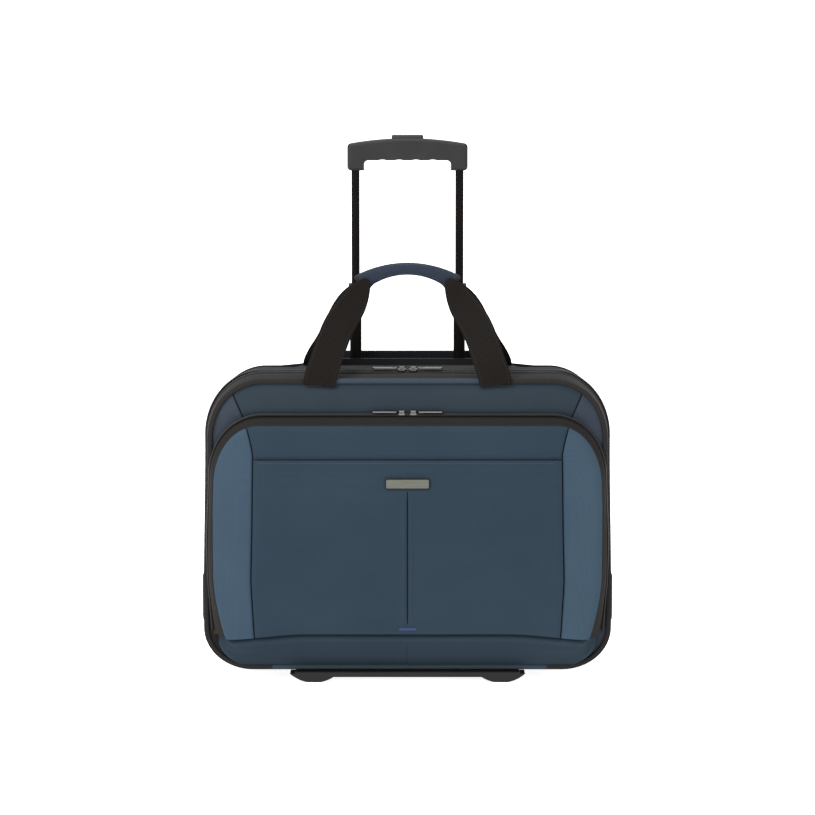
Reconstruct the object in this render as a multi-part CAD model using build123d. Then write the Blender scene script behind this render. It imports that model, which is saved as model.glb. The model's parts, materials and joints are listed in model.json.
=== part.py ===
from build123d import *
import os
from math import atan2, cos, degrees, radians, sin, sqrt

# Rolling laptop case, in millimetres. +Z is up, +X is to the right of someone who faces the front,
# and the front faces -Y. The origin is on the floor under the middle of the case.

os.makedirs("parts", exist_ok=True)

GAP = 0.3                    # clearance between pieces that move past each other
SIDES = (("left", -1), ("right", 1))

# ---- case shell ----
BODY_WIDTH = 428.0
BODY_LOW = 14.0
BODY_TOP = 321.0
TOP_RADIUS = 50.0
BOTTOM_RADIUS = 40.0
FABRIC = 3.0                 # wall of padded fabric
SHELL_FRONT_Y = -29.9        # where the rear half meets the front half, at the main zip
BACK_Y = 77.5                # inner face of the back panel
BACK_THICKNESS = 3.0
BOARD_Y = 47.0               # front face of the board that hides the trolley
BOARD_THICKNESS = 2.5
HUMP_HALF = 107.0            # raised middle of the back panel, behind the trolley recess
HUMP_TOP = 332.0
BINDING = 4.0

# ---- front half, which folds forward ----
LID_WIDTH = 424.0
LID_LOW = 13.0
LID_TOP = 319.5
LID_Y = -72.0                # front face of the front panel
LID_BACK_Y = -30.5
LID_HINGE_Z = 15.5

# ---- front pocket ----
POCKET_WIDTH = 410.0
POCKET_LOW = 54.5
POCKET_TOP = 280.0
POCKET_FRONT_Y = -95.5
POCKET_BACK_Y = -76.6
POCKET_RADIUS = 44.0
SLIP_HALF = 160.0
SLIP_TOP = 237.0
SLIP_FRONT_Y = -101.5
SLIP_WALL = 1.2
BADGE_Z = 212.0

# ---- base ----
FOOT_HEIGHT = 10.5
FOOT_X = 98.0
FOOT_HALF = 25.0
PAN_THICKNESS = 3.0
WHEEL_RADIUS = 25.0
WHEEL_WIDTH = 22.0
WHEEL_X = 176.0
WHEEL_Y = 77.5
WELL_X = (162.5, 189.5)       # the well round each wheel
HOUSING_X = (158.0, 195.0)   # and the housing round the well
HUB_RADIUS = 16.0
BEARING_RADIUS = 6.0
AXLE_RADIUS = 3.0
RUNNING = 0.05               # radial clearance on the axle

# ---- trolley ----
TUBE_X = 56.0
TUBE_Y = 62.0
OUTER_TUBE = (16.2, 23.2)    # across x, across y
MID_TUBE = (12.4, 19.4)
INNER_TUBE = (8.6, 15.6)
TUBE_WALL = 1.5
CUP_FLOOR = 306.0
CUP_RIM = 328.0
MID_TOP = 408.0
GRIP_LOW = 530.0
GRIP_BAR_LOW = 541.0
GRIP_SHOULDER = 558.5        # height of the crowned top at its ends
GRIP_TOP = 564.5             # and in its middle
GRIP_SPLIT = 551.0           # height of the line between the two grip shells
GRIP_HALF = 64.7
GRIP_DEPTH = 22.0
BUTTON_TOP = 568.3
BUTTON_HALF = 17.0

# ---- carry handle ----
WEBBING = 2.5
STRAP_X = 95.0
STRAP_WIDTH = 34.0
ARCH_RADIUS = 82.0
ARCH_TOP = 429.0
ARCH_LOW = ARCH_TOP - ARCH_RADIUS
STRAP_ARCH = (79.2, 83.8)    # radii of the webbing inside the wrap
FRONT_HINGE = (-76.0, 321.0)
REAR_HINGE = (30.0, 323.5)
FRONT_ARCH_Y = (-28.0, -20.5)
REAR_ARCH_Y = (-16.5, -9.0)


def box(x, y, z):
    """A box between two limits along each axis."""
    size = Box(x[1] - x[0], y[1] - y[0], z[1] - z[0])
    return Pos((x[0] + x[1]) / 2, (y[0] + y[1]) / 2, (z[0] + z[1]) / 2) * size


def rounded_outline(width, low, high, top_radius, bottom_radius):
    """A rounded rectangle, centred on x = 0, with its own radius at the top and at the bottom."""
    shape = Pos(0, (low + high) / 2) * Rectangle(width, high - low)
    shape = fillet(shape.vertices().group_by(Axis.Y)[-1], top_radius)
    return fillet(shape.vertices().group_by(Axis.Y)[0], bottom_radius)


def slab(outline, y_front, y_back):
    """The outline, drawn across x and z, as a solid between two depths."""
    return extrude(Plane.XZ.offset(-y_back) * outline, y_back - y_front)


def upright(profile, z_low, z_high):
    """The profile, drawn across x and y, as a solid between two heights."""
    return extrude(Plane.XY.offset(z_low) * profile, z_high - z_low)


def lengthwise(points, x_low, x_high):
    """A polygon of (y, z) points as a solid between two x limits."""
    face = make_face(Plane.YZ.offset(x_low) * Polyline(*points, close=True))
    return extrude(face, x_high - x_low, dir=(1, 0, 0))


def along_x(radius, x_low, x_high, y, z):
    """A round bar along x."""
    return extrude(Plane.YZ.offset(x_low) * Pos(y, z) * Circle(radius), x_high - x_low)


def write(shape, node):
    """Write one node as a STEP file."""
    export_step(shape, f"parts/{node}.step")


def body_outline(inset=0.0):
    return rounded_outline(BODY_WIDTH - 2 * inset, BODY_LOW + inset, BODY_TOP - inset,
                           TOP_RADIUS - inset, BOTTOM_RADIUS - inset)


def lid_outline(inset=0.0):
    return rounded_outline(LID_WIDTH - 2 * inset, LID_LOW + inset, LID_TOP - inset,
                           TOP_RADIUS - inset, BOTTOM_RADIUS - inset)


def pocket_outline(inset=0.0):
    shape = Pos(0, (POCKET_LOW + POCKET_TOP - inset) / 2) * Rectangle(
        POCKET_WIDTH - 2 * inset, POCKET_TOP - inset - POCKET_LOW)
    return fillet(shape.vertices().group_by(Axis.Y)[-1], POCKET_RADIUS - inset)


def back_outline(inset=0.0):
    """The back panel: the body's outline with a raised middle."""
    hump = Pos(0, (250 + HUMP_TOP - inset) / 2) * Rectangle(2 * (HUMP_HALF - inset),
                                                            HUMP_TOP - inset - 250)
    hump = fillet(hump.vertices().group_by(Axis.Y)[-1], 8)
    return body_outline(inset) + hump


def housing_space():
    """The two openings at the bottom of the back that the wheel housings fill."""
    low = HOUSING_X[0] - 1
    high = HOUSING_X[1] + 3
    return [box(sorted((side * low, side * high)), (47.5, 90), (0, 60.5)) for _, side in SIDES]


# ---- shell and panels ----

def gusset():
    """The fabric band round the rear half, open to the front."""
    band = slab(body_outline(), SHELL_FRONT_Y, BACK_Y) - slab(body_outline(FABRIC), -40, 90)
    recess = box((-105.2, 105.2), (45.3, 90), (310, 330))
    return band - recess - housing_space()


def back_panel():
    return slab(back_outline(), BACK_Y, BACK_Y + BACK_THICKNESS) - housing_space()


def rear_binding():
    """The edge binding between the gusset and the back panel."""
    ring = slab(back_outline(-1.2), BACK_Y + BACK_THICKNESS, BACK_Y + BACK_THICKNESS + 2.0)
    ring -= slab(back_outline(BINDING), BACK_Y, BACK_Y + 10)
    return ring - housing_space() - box((-HOUSING_X[0], HOUSING_X[0]), (BACK_Y, BACK_Y + 10), (0, 60))


def frame_board():
    """The stiff board between the compartment and the trolley tubes."""
    board = slab(body_outline(FABRIC), BOARD_Y, BOARD_Y + BOARD_THICKNESS)
    return board - box((-108, 108), (40, 60), (299, 330)) - housing_space()


def base_pan():
    """The moulded tray under the case."""
    low = FOOT_HEIGHT
    pan = box((-170, 170), (-67.5, BACK_Y), (low, low + PAN_THICKNESS))
    pan = fillet(pan.edges().filter_by(Axis.Z), 12)
    return pan - housing_space()


def side_guard(side):
    """The lower side reinforcement, standing proud of the gusset."""
    inner = BODY_WIDTH / 2
    outline = RectangleRounded(66, 64, 12)
    plate = extrude(Plane.YZ.offset(inner) * Pos(12, 78) * outline, 6)
    plate = fillet(plate.faces().sort_by(Axis.X)[-1].edges(), 3)
    return plate if side > 0 else mirror(plate, Plane.YZ)


def laptop_sleeve():
    """The padded sleeve in front of the board, open at the top."""
    outer = box((-182, 182), (15, BOARD_Y), (19, 262))
    space = box((-176.5, 176.5), (20, BOARD_Y + 1), (25, 270))
    return outer - space


def lid_panel():
    return slab(lid_outline(), LID_Y, LID_Y + FABRIC)


def lid_gusset():
    """The fabric band round the front half: top and sides, with no floor."""
    band = slab(lid_outline(), LID_Y + FABRIC, LID_BACK_Y) - slab(lid_outline(FABRIC), -90, 0)
    return band - box((-230, 230), (-90, 0), (0, 20))


def front_binding():
    ring = slab(lid_outline(-1), LID_Y - 2.5, LID_Y)
    return ring - slab(lid_outline(BINDING), LID_Y - 10, LID_Y + 1)


def lower_facet():
    """The sloping panel under the pocket, with a wedge of gusset at each end."""
    low = (LID_Y - GAP, 18.0)
    toe = (LID_Y - 4.2, 18.0)
    brow = (SLIP_FRONT_Y + 1.8, POCKET_LOW - 1.2)
    plate = lengthwise([low, toe, brow, (brow[0] + 3.8, brow[1])], -196, 196)
    for _, side in SIDES:
        ends = sorted((side * 193, side * 196))
        plate += lengthwise([low, toe, brow, (LID_Y - GAP, brow[1])], *ends)
    return plate & slab(lid_outline(8), -110, LID_Y)


# ---- zips ----

def zip_strip(outline, height, y_front, y_back, low):
    """A raised tape along an outline, above the height where the zip ends."""
    strip = slab(outline(-height), y_front, y_back) - slab(outline(), y_front - 1, y_back + 1)
    return strip - box((-240, 240), (-110, 110), (0, low))


def zip_slider(x, y, z):
    """A slider on a flat stretch of zip: a base, a bridge and a narrow waist."""
    base = box((x - 4.4, x + 4.4), (y - 4.2, y + 4.2), (z, z + 1.8))
    base = chamfer(base.edges().filter_by(Axis.Z), 1.4)
    post = box((x - 2.6, x + 2.6), (y - 1.2, y + 1.2), (z + 1.8, z + 4.4))
    return base + post


def zip_pull(x, y, z, side):
    """A pull tab that lies flat, pointing away from the middle."""
    start = x + side * 4.8
    middle = start + side * 13
    tab = Pos(middle, y, z + 2.9) * Box(26, 5.4, 1.4)
    tab = fillet(tab.edges().filter_by(Axis.Z), 2.4)
    hole = Pos(start + side * 4.2, y, z + 2.9) * Box(3.4, 2.6, 4)
    return tab - hole


# ---- front pocket ----

def pocket_block(inset):
    """The pocket's form, with a bevel round the top and sides of its front."""
    front_y = POCKET_FRONT_Y + inset
    block = slab(pocket_outline(inset), front_y, POCKET_BACK_Y + inset)
    front = block.faces().sort_by(Axis.Y)[0]
    edges = [edge for edge in front.edges() if edge.center().Z > POCKET_LOW + 1]
    return chamfer(ShapeList(edges), 7)


def pocket_tray():
    """The front pocket: a front wall and a wall round the top and sides."""
    return pocket_block(0) - pocket_block(2.5)


def slip_pocket():
    """The open-topped pocket on the front, standing a little proud."""
    x = SLIP_HALF
    wall = box((-x, x), (SLIP_FRONT_Y, POCKET_FRONT_Y), (POCKET_LOW, SLIP_TOP))
    space = box((-x + 3, x - 3), (SLIP_FRONT_Y + SLIP_WALL, POCKET_FRONT_Y + 1),
                (POCKET_LOW + 3, SLIP_TOP + 1))
    return wall - space


def badge_plate():
    """A plain metal plate on the front of the slip pocket."""
    return slab(Pos(0, BADGE_Z) * RectangleRounded(44, 9, 1.5), SLIP_FRONT_Y - 1, SLIP_FRONT_Y)


# ---- base and wheels ----

def foot_bar():
    """The moulded bar under the front, with a bowed foot near each end that has a small flat."""
    shape = Pos(0, (5.5 + FOOT_HEIGHT) / 2) * RectangleRounded(236, FOOT_HEIGHT - 5.5, 2.2)
    depth = FOOT_HEIGHT - 1.5
    below = 0.6                  # how far the bow would reach past the flat
    radius = (FOOT_HALF ** 2 + (depth + below) ** 2) / (2 * (depth + below))
    for _, side in SIDES:
        bow = Pos(side * FOOT_X, radius - below) * Circle(radius)
        shape += bow & Pos(side * FOOT_X, depth / 2) * Rectangle(2 * FOOT_HALF, depth)
    return slab(shape, -84, -62)


def kick_plate():
    """The scuff plate across the bottom of the back, between the wheels."""
    y = BACK_Y + BACK_THICKNESS
    width = 2 * (HOUSING_X[0] - 4)
    return slab(Pos(0, 36) * RectangleRounded(width, 44, 8), y, y + 2.5)


def wheel_housing(side):
    """A moulded housing with a well for the wheel, open below and behind."""
    block = box(HOUSING_X, (48, 84), (FOOT_HEIGHT, 60))
    block = fillet(block.edges().filter_by(Axis.Y).sort_by(Axis.X)[-2:], 8)
    block = fillet(block.edges().filter_by(Axis.Z).sort_by(Axis.X)[-2:], 3)
    well = along_x(WHEEL_RADIUS + 3, *WELL_X, WHEEL_Y, WHEEL_RADIUS)
    block = block - well - box(WELL_X, (WHEEL_Y, 90), (0, WHEEL_RADIUS + 20))
    block -= along_x(AXLE_RADIUS + RUNNING, HOUSING_X[0] - 5, HOUSING_X[1] + 5, WHEEL_Y, WHEEL_RADIUS)
    return block if side > 0 else mirror(block, Plane.YZ)


def axle(side):
    """A stepped pin with a flat head outside the housing."""
    pin = along_x(AXLE_RADIUS, HOUSING_X[0] + 1, HOUSING_X[1], WHEEL_Y, WHEEL_RADIUS)
    pin += along_x(5.5, HOUSING_X[1], HOUSING_X[1] + 1.5, WHEEL_Y, WHEEL_RADIUS)
    return pin if side > 0 else mirror(pin, Plane.YZ)


def hub(side):
    """A five-spoke hub with a seat for a bearing at each end."""
    x_low = WHEEL_X - WHEEL_WIDTH / 2 + 1
    x_high = WHEEL_X + WHEEL_WIDTH / 2 - 1
    disc = along_x(HUB_RADIUS, x_low, x_high, WHEEL_Y, WHEEL_RADIUS)
    disc -= along_x(BEARING_RADIUS, x_low - 1, x_high + 1, WHEEL_Y, WHEEL_RADIUS)
    for spoke in range(5):
        turn = radians(72 * spoke + 90)
        y = WHEEL_Y + 10.8 * cos(turn)
        z = WHEEL_RADIUS + 10.8 * sin(turn)
        disc -= along_x(2.6, x_high - 5, x_high + 1, y, z)
    return disc if side > 0 else mirror(disc, Plane.YZ)


def tyre(side):
    """A soft tread with rounded shoulders."""
    x_low = WHEEL_X - WHEEL_WIDTH / 2
    ring = along_x(WHEEL_RADIUS, x_low, x_low + WHEEL_WIDTH, WHEEL_Y, WHEEL_RADIUS)
    ring = fillet(ring.edges().filter_by(GeomType.CIRCLE), 4)
    ring -= along_x(HUB_RADIUS, x_low - 1, x_low + WHEEL_WIDTH + 1, WHEEL_Y, WHEEL_RADIUS)
    return ring if side > 0 else mirror(ring, Plane.YZ)


def bearings(side):
    """Two bearings, one at each end of the hub."""
    pair = []
    for x in (WHEEL_X - 9.5, WHEEL_X + 4.5):
        ring = along_x(BEARING_RADIUS, x, x + 5, WHEEL_Y, WHEEL_RADIUS)
        ring -= along_x(AXLE_RADIUS + RUNNING, x - 1, x + 6, WHEEL_Y, WHEEL_RADIUS)
        pair.append(ring if side > 0 else mirror(ring, Plane.YZ))
    return Compound(children=pair)


def screw(x, y, z, direction):
    """A pan-head screw whose head faces the given way along y or z."""
    plane = Plane(origin=(x, y, z), z_dir=direction)
    head = fillet(extrude(plane * Circle(3.2), 1.6).edges().sort_by_distance((x, y, z))[-1:], 0.9)
    return head + extrude(plane * Circle(1.4), -3.5)


def case_screws():
    """Screws in the foot bar, the kick plate and the trolley bracket."""
    plate_y = BACK_Y + BACK_THICKNESS + 2.5
    screws = []
    for _, side in SIDES:
        screws.append(screw(side * 40, -73, 5.5, (0, 0, -1)))
        screws.append(screw(side * 142, plate_y, 24, (0, 1, 0)))
        screws.append(screw(side * 142, plate_y, 48, (0, 1, 0)))
        screws.append(screw(side * 60, plate_y, 36, (0, 1, 0)))
    return Compound(children=screws)


# ---- trolley ----

def tube(size, z_low, z_high, side):
    """A rounded rectangular tube."""
    place = Pos(side * TUBE_X, TUBE_Y)
    outer = place * RectangleRounded(size[0], size[1], size[0] * 0.4)
    inner = place * RectangleRounded(size[0] - 2 * TUBE_WALL, size[1] - 2 * TUBE_WALL,
                                     (size[0] - 2 * TUBE_WALL) * 0.4)
    return upright(outer - inner, z_low, z_high)


def tube_hole(size, clearance, z_low, z_high, side):
    """The space that a tube passes through."""
    hole = RectangleRounded(size[0] + 2 * clearance, size[1] + 2 * clearance, size[0] * 0.4)
    return upright(Pos(side * TUBE_X, TUBE_Y) * hole, z_low, z_high)


def mid_collar(side):
    """The guide that closes the top of the middle tube round the inner one."""
    collar = RectangleRounded(MID_TUBE[0] + 3, MID_TUBE[1] + 3, 5.5)
    block = upright(Pos(side * TUBE_X, TUBE_Y) * collar, MID_TOP - 11, MID_TOP)
    block -= tube_hole(MID_TUBE, 0, MID_TOP - 12, MID_TOP - 3, side)
    return block - tube_hole(INNER_TUBE, GAP, MID_TOP - 4, MID_TOP + 1, side)


def trolley_cup():
    """The moulded recess that the grip drops into."""
    cup = box((-105, 105), (45.5, BACK_Y), (CUP_FLOOR - 3, CUP_RIM))
    cup = fillet(cup.edges().filter_by(Axis.Z).sort_by(Axis.Y)[:2], 10)
    cup -= box((-101, 101), (49, 75), (CUP_FLOOR, CUP_RIM + 1))
    cup -= box((-110, 110), (75, 80), (CUP_FLOOR + 10, CUP_RIM + 1))
    for _, side in SIDES:
        cup -= tube_hole(MID_TUBE, 0.4, 300, 310, side)
    return cup


def tube_bracket():
    """The cross piece that holds the lower ends of the outer tubes."""
    bracket = box((-78, 78), (50, 74), (18, 42))
    bracket = fillet(bracket.edges().filter_by(Axis.Z), 3)
    for _, side in SIDES:
        bracket -= tube_hole(OUTER_TUBE, 0, 30, 50, side)
    return bracket


def grip_block():
    """The outer form of the grip: a crowned bar with a short leg over each tube."""
    crown = ThreePointArc((-GRIP_HALF, GRIP_SHOULDER), (0, GRIP_TOP), (GRIP_HALF, GRIP_SHOULDER))
    rest = Polyline((GRIP_HALF, GRIP_SHOULDER), (GRIP_HALF, GRIP_LOW), (-GRIP_HALF, GRIP_LOW),
                    (-GRIP_HALF, GRIP_SHOULDER))
    shape = make_face([crown, rest])
    shape = fillet(shape.vertices().group_by(Axis.Y)[0], 4)
    shape = fillet(shape.vertices().group_by(Axis.Y)[-1], 4)
    notch_height = GRIP_BAR_LOW - GRIP_LOW + 10
    notch = Pos(0, GRIP_BAR_LOW - notch_height / 2) * Rectangle(93.6, notch_height)
    notch = fillet(notch.vertices().group_by(Axis.Y)[-1], 5)
    for finger in (-27, -9, 9, 27):
        notch += Pos(finger, GRIP_BAR_LOW - 13.2) * Circle(14)
    half = GRIP_DEPTH / 2
    block = slab(shape - notch, TUBE_Y - half, TUBE_Y + half)
    rims = [edge for face in block.faces().filter_by(Axis.Y) for edge in face.edges()
            if edge.center().Z > GRIP_BAR_LOW + 4]
    return fillet(ShapeList(rims), 4)


def grip_hollow():
    """The space inside the grip for the release yoke, the tubes and the button."""
    hollow = box((-61, 61), (TUBE_Y - 7.5, TUBE_Y + 7.5), (GRIP_BAR_LOW + 3, GRIP_SHOULDER - 2.5))
    hollow += box((-BUTTON_HALF - 0.4, BUTTON_HALF + 0.4), (TUBE_Y - 7.4, TUBE_Y + 7.4),
                  (GRIP_SHOULDER - 3, GRIP_TOP + 1))
    for _, side in SIDES:
        hollow += tube_hole(INNER_TUBE, 0, GRIP_LOW - 1, GRIP_BAR_LOW + 4, side)
    return hollow


def grip_upper():
    return (grip_block() - grip_hollow()) & box((-90, 90), (30, 90), (GRIP_SPLIT, 600))


def grip_lower():
    return (grip_block() - grip_hollow()) & box((-90, 90), (30, 90), (500, GRIP_SPLIT))


def push_button():
    button = box((-BUTTON_HALF, BUTTON_HALF), (TUBE_Y - 7, TUBE_Y + 7), (553, BUTTON_TOP))
    button = fillet(button.edges().filter_by(Axis.Z), 3)
    return fillet(button.faces().sort_by(Axis.Z)[-1].edges(), 2)


def release_yoke():
    """The bar under the button, with a rod down each inner tube."""
    yoke = box((-59.5, 59.5), (TUBE_Y - 5, TUBE_Y + 5), (550, 553))
    for _, side in SIDES:
        rod = Pos(side * TUBE_X, TUBE_Y) * Circle(1.5)
        yoke += upright(rod, 262, 551)
    return yoke


def button_spring():
    """A compression spring between the grip's floor and the yoke."""
    path = Helix(pitch=1.45, height=4.9, radius=3.4)
    wire = Plane(origin=path @ 0, z_dir=path % 0) * Circle(0.4)
    return Pos(0, TUBE_Y, GRIP_BAR_LOW + 3 + 0.55) * sweep(wire, path)


# ---- carry handle ----

def leg_outline(side):
    """One leg of a webbing handle, drawn across x and z, narrowing to its arch."""
    points = []
    for radius, angle in ((STRAP_ARCH[1], 36), (STRAP_ARCH[1], 41.5)):
        points.append((radius * sin(radians(angle)), ARCH_LOW + radius * cos(radians(angle))))
    points += [(70, 403), (96, 368), (STRAP_X + STRAP_WIDTH / 2, None)]
    points += [(STRAP_X - STRAP_WIDTH / 2, None), (63, 372)]
    for radius, angle in ((STRAP_ARCH[0], 41.5), (STRAP_ARCH[0], 36)):
        points.append((radius * sin(radians(angle)), ARCH_LOW + radius * cos(radians(angle))))
    return [(side * x, z) for x, z in points]


def webbing_handle(hinge, arch_y):
    """Two flat legs that lean to the middle, joined by a narrow arch."""
    arch_mid = (arch_y[0] + arch_y[1]) / 2
    lean = atan2(arch_mid - hinge[0], 412 - hinge[1])
    low = hinge[1] + 0.5
    plane = Plane(origin=(0, hinge[0], hinge[1]), x_dir=(1, 0, 0), z_dir=(0, -cos(lean), sin(lean)))
    profile = Rectangle(arch_y[1] - arch_y[0], STRAP_ARCH[1] - STRAP_ARCH[0])
    middle = ARCH_LOW + (STRAP_ARCH[0] + STRAP_ARCH[1]) / 2
    face = Plane(origin=(0, arch_mid, middle), x_dir=(0, 1, 0), z_dir=(1, 0, 0)) * profile
    axis = Axis((0, 0, ARCH_LOW), (0, 1, 0))
    handle = revolve(face, axis, 75).rotate(axis, -37.5)
    for _, side in SIDES:
        corners = [(x, ((z or low) - hinge[1]) / cos(lean)) for x, z in leg_outline(side)]
        leg = make_face(plane * Polyline(*corners, close=True))
        handle += extrude(leg, WEBBING / 2, both=True)
    return handle


def handle_wrap():
    """The padded wrap round the middle of the handle, open to the rear below the rear webbing."""
    y_low = FRONT_ARCH_Y[0] - 5
    y_high = REAR_ARCH_Y[1]
    middle = (y_low + y_high) / 2
    outer = RectangleRounded(y_high - y_low, 16, 5)
    slot = Pos(3.2, 0) * Rectangle(y_high - y_low - 1.4, 10)
    lip = Pos(12, -6) * Rectangle(20, 8)
    place = Plane(origin=(0, middle, ARCH_TOP + 0.5), x_dir=(0, 1, 0), z_dir=(1, 0, 0))
    axis = Axis((0, 0, ARCH_LOW), (0, 1, 0))
    return revolve(place * (outer - slot - lip), axis, 80).rotate(axis, -40)


def front_handle_tabs():
    """The sewn ends of the front webbing, over the front binding."""
    tabs = []
    for _, side in SIDES:
        shape = Pos(side * STRAP_X, 312.5) * Rectangle(STRAP_WIDTH, 9)
        tabs.append(slab(shape, LID_Y - 4.5, LID_Y - 2.5))
    return Compound(children=tabs)


def rear_handle_tabs():
    """The sewn ends of the rear webbing, flat on top of the case."""
    tabs = []
    for _, side in SIDES:
        x = sorted((side * (STRAP_X - 17), side * (STRAP_X + 17)))
        tabs.append(box(x, (29, 44), (BODY_TOP, BODY_TOP + 2)))
    return Compound(children=tabs)


# ---- write every node ----

write(gusset(), "gusset")
write(back_panel(), "back_panel")
write(rear_binding(), "rear_binding")
write(frame_board(), "frame_board")
write(base_pan(), "base_pan")
write(laptop_sleeve(), "laptop_sleeve")
write(lid_panel(), "lid_panel")
write(lid_gusset(), "lid_gusset")
write(front_binding(), "front_binding")
write(lower_facet(), "lower_facet")
write(zip_strip(body_outline, 1.2, SHELL_FRONT_Y, -22, 60), "main_zip_rear")
write(zip_strip(lid_outline, 1.2, -38, LID_BACK_Y, 60), "main_zip_front")
write(zip_strip(pocket_outline, 1.0, LID_Y - 4.2, LID_Y, 60), "pocket_zip_rear")
write(zip_strip(pocket_outline, 1.0, -82, POCKET_BACK_Y, 60), "pocket_zip_front")
write(pocket_tray(), "pocket_tray")
write(slip_pocket(), "slip_pocket")
write(badge_plate(), "badge_plate")
write(foot_bar(), "foot_bar")
write(kick_plate(), "kick_plate")
write(case_screws(), "case_screws")
write(trolley_cup(), "trolley_cup")
write(tube_bracket(), "tube_bracket")
write(grip_upper(), "grip_upper")
write(grip_lower(), "grip_lower")
write(push_button(), "push_button")
write(release_yoke(), "release_yoke")
write(button_spring(), "button_spring")
write(webbing_handle(FRONT_HINGE, FRONT_ARCH_Y), "front_webbing")
write(webbing_handle(REAR_HINGE, REAR_ARCH_Y), "rear_webbing")
write(handle_wrap(), "handle_wrap")
write(front_handle_tabs(), "front_handle_tabs")
write(rear_handle_tabs(), "rear_handle_tabs")

for name, side in SIDES:
    write(side_guard(side), f"side_guard_{name}")
    write(wheel_housing(side), f"wheel_housing_{name}")
    write(axle(side), f"axle_{name}")
    write(hub(side), f"hub_{name}")
    write(tyre(side), f"tyre_{name}")
    write(bearings(side), f"bearings_{name}")
    write(tube(OUTER_TUBE, 30, CUP_FLOOR - 3, side), f"outer_tube_{name}")
    write(tube(MID_TUBE, 123, MID_TOP - 3, side), f"mid_tube_{name}")
    write(tube(INNER_TUBE, 246, GRIP_BAR_LOW + 3, side), f"inner_tube_{name}")
    write(mid_collar(side), f"mid_collar_{name}")
    write(zip_slider(side * 6, -30.2, BODY_TOP + 1.5), f"main_slider_{name}")
    write(zip_pull(side * 6, -30.2, BODY_TOP + 1.5, side), f"main_pull_{name}")
    write(zip_slider(side * 6, -77.5, POCKET_TOP + 1.3), f"pocket_slider_{name}")
    write(zip_pull(side * 6, -77.5, POCKET_TOP + 1.3, side), f"pocket_pull_{name}")
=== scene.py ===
import json
import math

import bmesh
import bpy
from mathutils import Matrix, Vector, noise


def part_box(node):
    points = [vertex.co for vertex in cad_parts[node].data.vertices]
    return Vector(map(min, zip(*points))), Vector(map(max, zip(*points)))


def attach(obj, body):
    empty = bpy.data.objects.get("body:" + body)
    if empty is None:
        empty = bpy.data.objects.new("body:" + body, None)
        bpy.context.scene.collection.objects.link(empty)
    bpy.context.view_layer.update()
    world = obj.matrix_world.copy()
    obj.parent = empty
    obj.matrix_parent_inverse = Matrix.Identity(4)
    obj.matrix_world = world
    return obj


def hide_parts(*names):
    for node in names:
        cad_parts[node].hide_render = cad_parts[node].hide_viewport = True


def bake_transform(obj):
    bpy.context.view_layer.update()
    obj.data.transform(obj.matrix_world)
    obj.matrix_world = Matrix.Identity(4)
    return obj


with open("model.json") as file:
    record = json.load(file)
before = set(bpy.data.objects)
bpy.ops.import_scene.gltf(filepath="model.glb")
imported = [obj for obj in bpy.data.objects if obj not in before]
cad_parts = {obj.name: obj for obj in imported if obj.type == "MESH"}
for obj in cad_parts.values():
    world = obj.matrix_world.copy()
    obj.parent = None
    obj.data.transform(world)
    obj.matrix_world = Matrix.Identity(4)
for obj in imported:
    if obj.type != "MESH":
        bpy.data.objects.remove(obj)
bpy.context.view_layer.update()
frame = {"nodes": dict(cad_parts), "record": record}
NODES = frame["nodes"]
MM = 0.001
SIDES = (("left", -1), ("right", 1))


# ---------------------------------------------------------------- camera, floor and light

def aim(obj, target):
    """Turns a camera or lamp to look at a point."""
    obj.rotation_euler = (Vector(target) - obj.location).to_track_quat("-Z", "Y").to_euler()


def add_camera():
    """A long lens from the front, a little above the case."""
    data = bpy.data.cameras.new("camera")
    data.lens = 125.2
    data.sensor_width = 36
    camera = bpy.data.objects.new("camera", data)
    camera.location = (0.0, -3.0, 0.62)
    aim(camera, (0.0, 0.0, 0.28))
    bpy.context.scene.collection.objects.link(camera)
    bpy.context.scene.camera = camera


def add_lamp(name, place, target, size, power):
    """A rectangular area lamp, aimed at a point."""
    data = bpy.data.lights.new(name, "AREA")
    data.shape = "RECTANGLE"
    data.size = size[0]
    data.size_y = size[1]
    data.energy = power
    lamp = bpy.data.objects.new(name, data)
    lamp.location = place
    aim(lamp, target)
    bpy.context.scene.collection.objects.link(lamp)


def add_studio():
    """Soft light from above and both sides, a pale floor, and a white surround."""
    add_lamp("key", (-1.5, -2.2, 2.3), (0, 0, 0.25), (1.8, 1.8), 140)
    add_lamp("fill", (1.9, -2.0, 1.2), (0, 0, 0.25), (1.6, 1.6), 12)
    add_lamp("top", (0.0, 0.1, 2.4), (0, 0, 0.2), (1.6, 1.2), 40)
    world = bpy.data.worlds.new("studio")
    world.use_nodes = True
    background = world.node_tree.nodes["Background"]
    background.inputs["Color"].default_value = (1, 1, 1, 1)
    background.inputs["Strength"].default_value = 1.06
    bpy.context.scene.world = world
    bpy.context.scene.view_settings.view_transform = "Standard"
    mesh = bpy.data.meshes.new("floor")
    reach = 60.0
    low = -0.2 * MM
    corners = [(-reach, -reach, low), (reach, -reach, low), (reach, reach, low), (-reach, reach, low)]
    mesh.from_pydata(corners, [], [(0, 1, 2, 3)])
    floor = bpy.data.objects.new("floor", mesh)
    floor.data.materials.append(FLOOR)
    bpy.context.scene.collection.objects.link(floor)


# ---------------------------------------------------------------- materials

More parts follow.
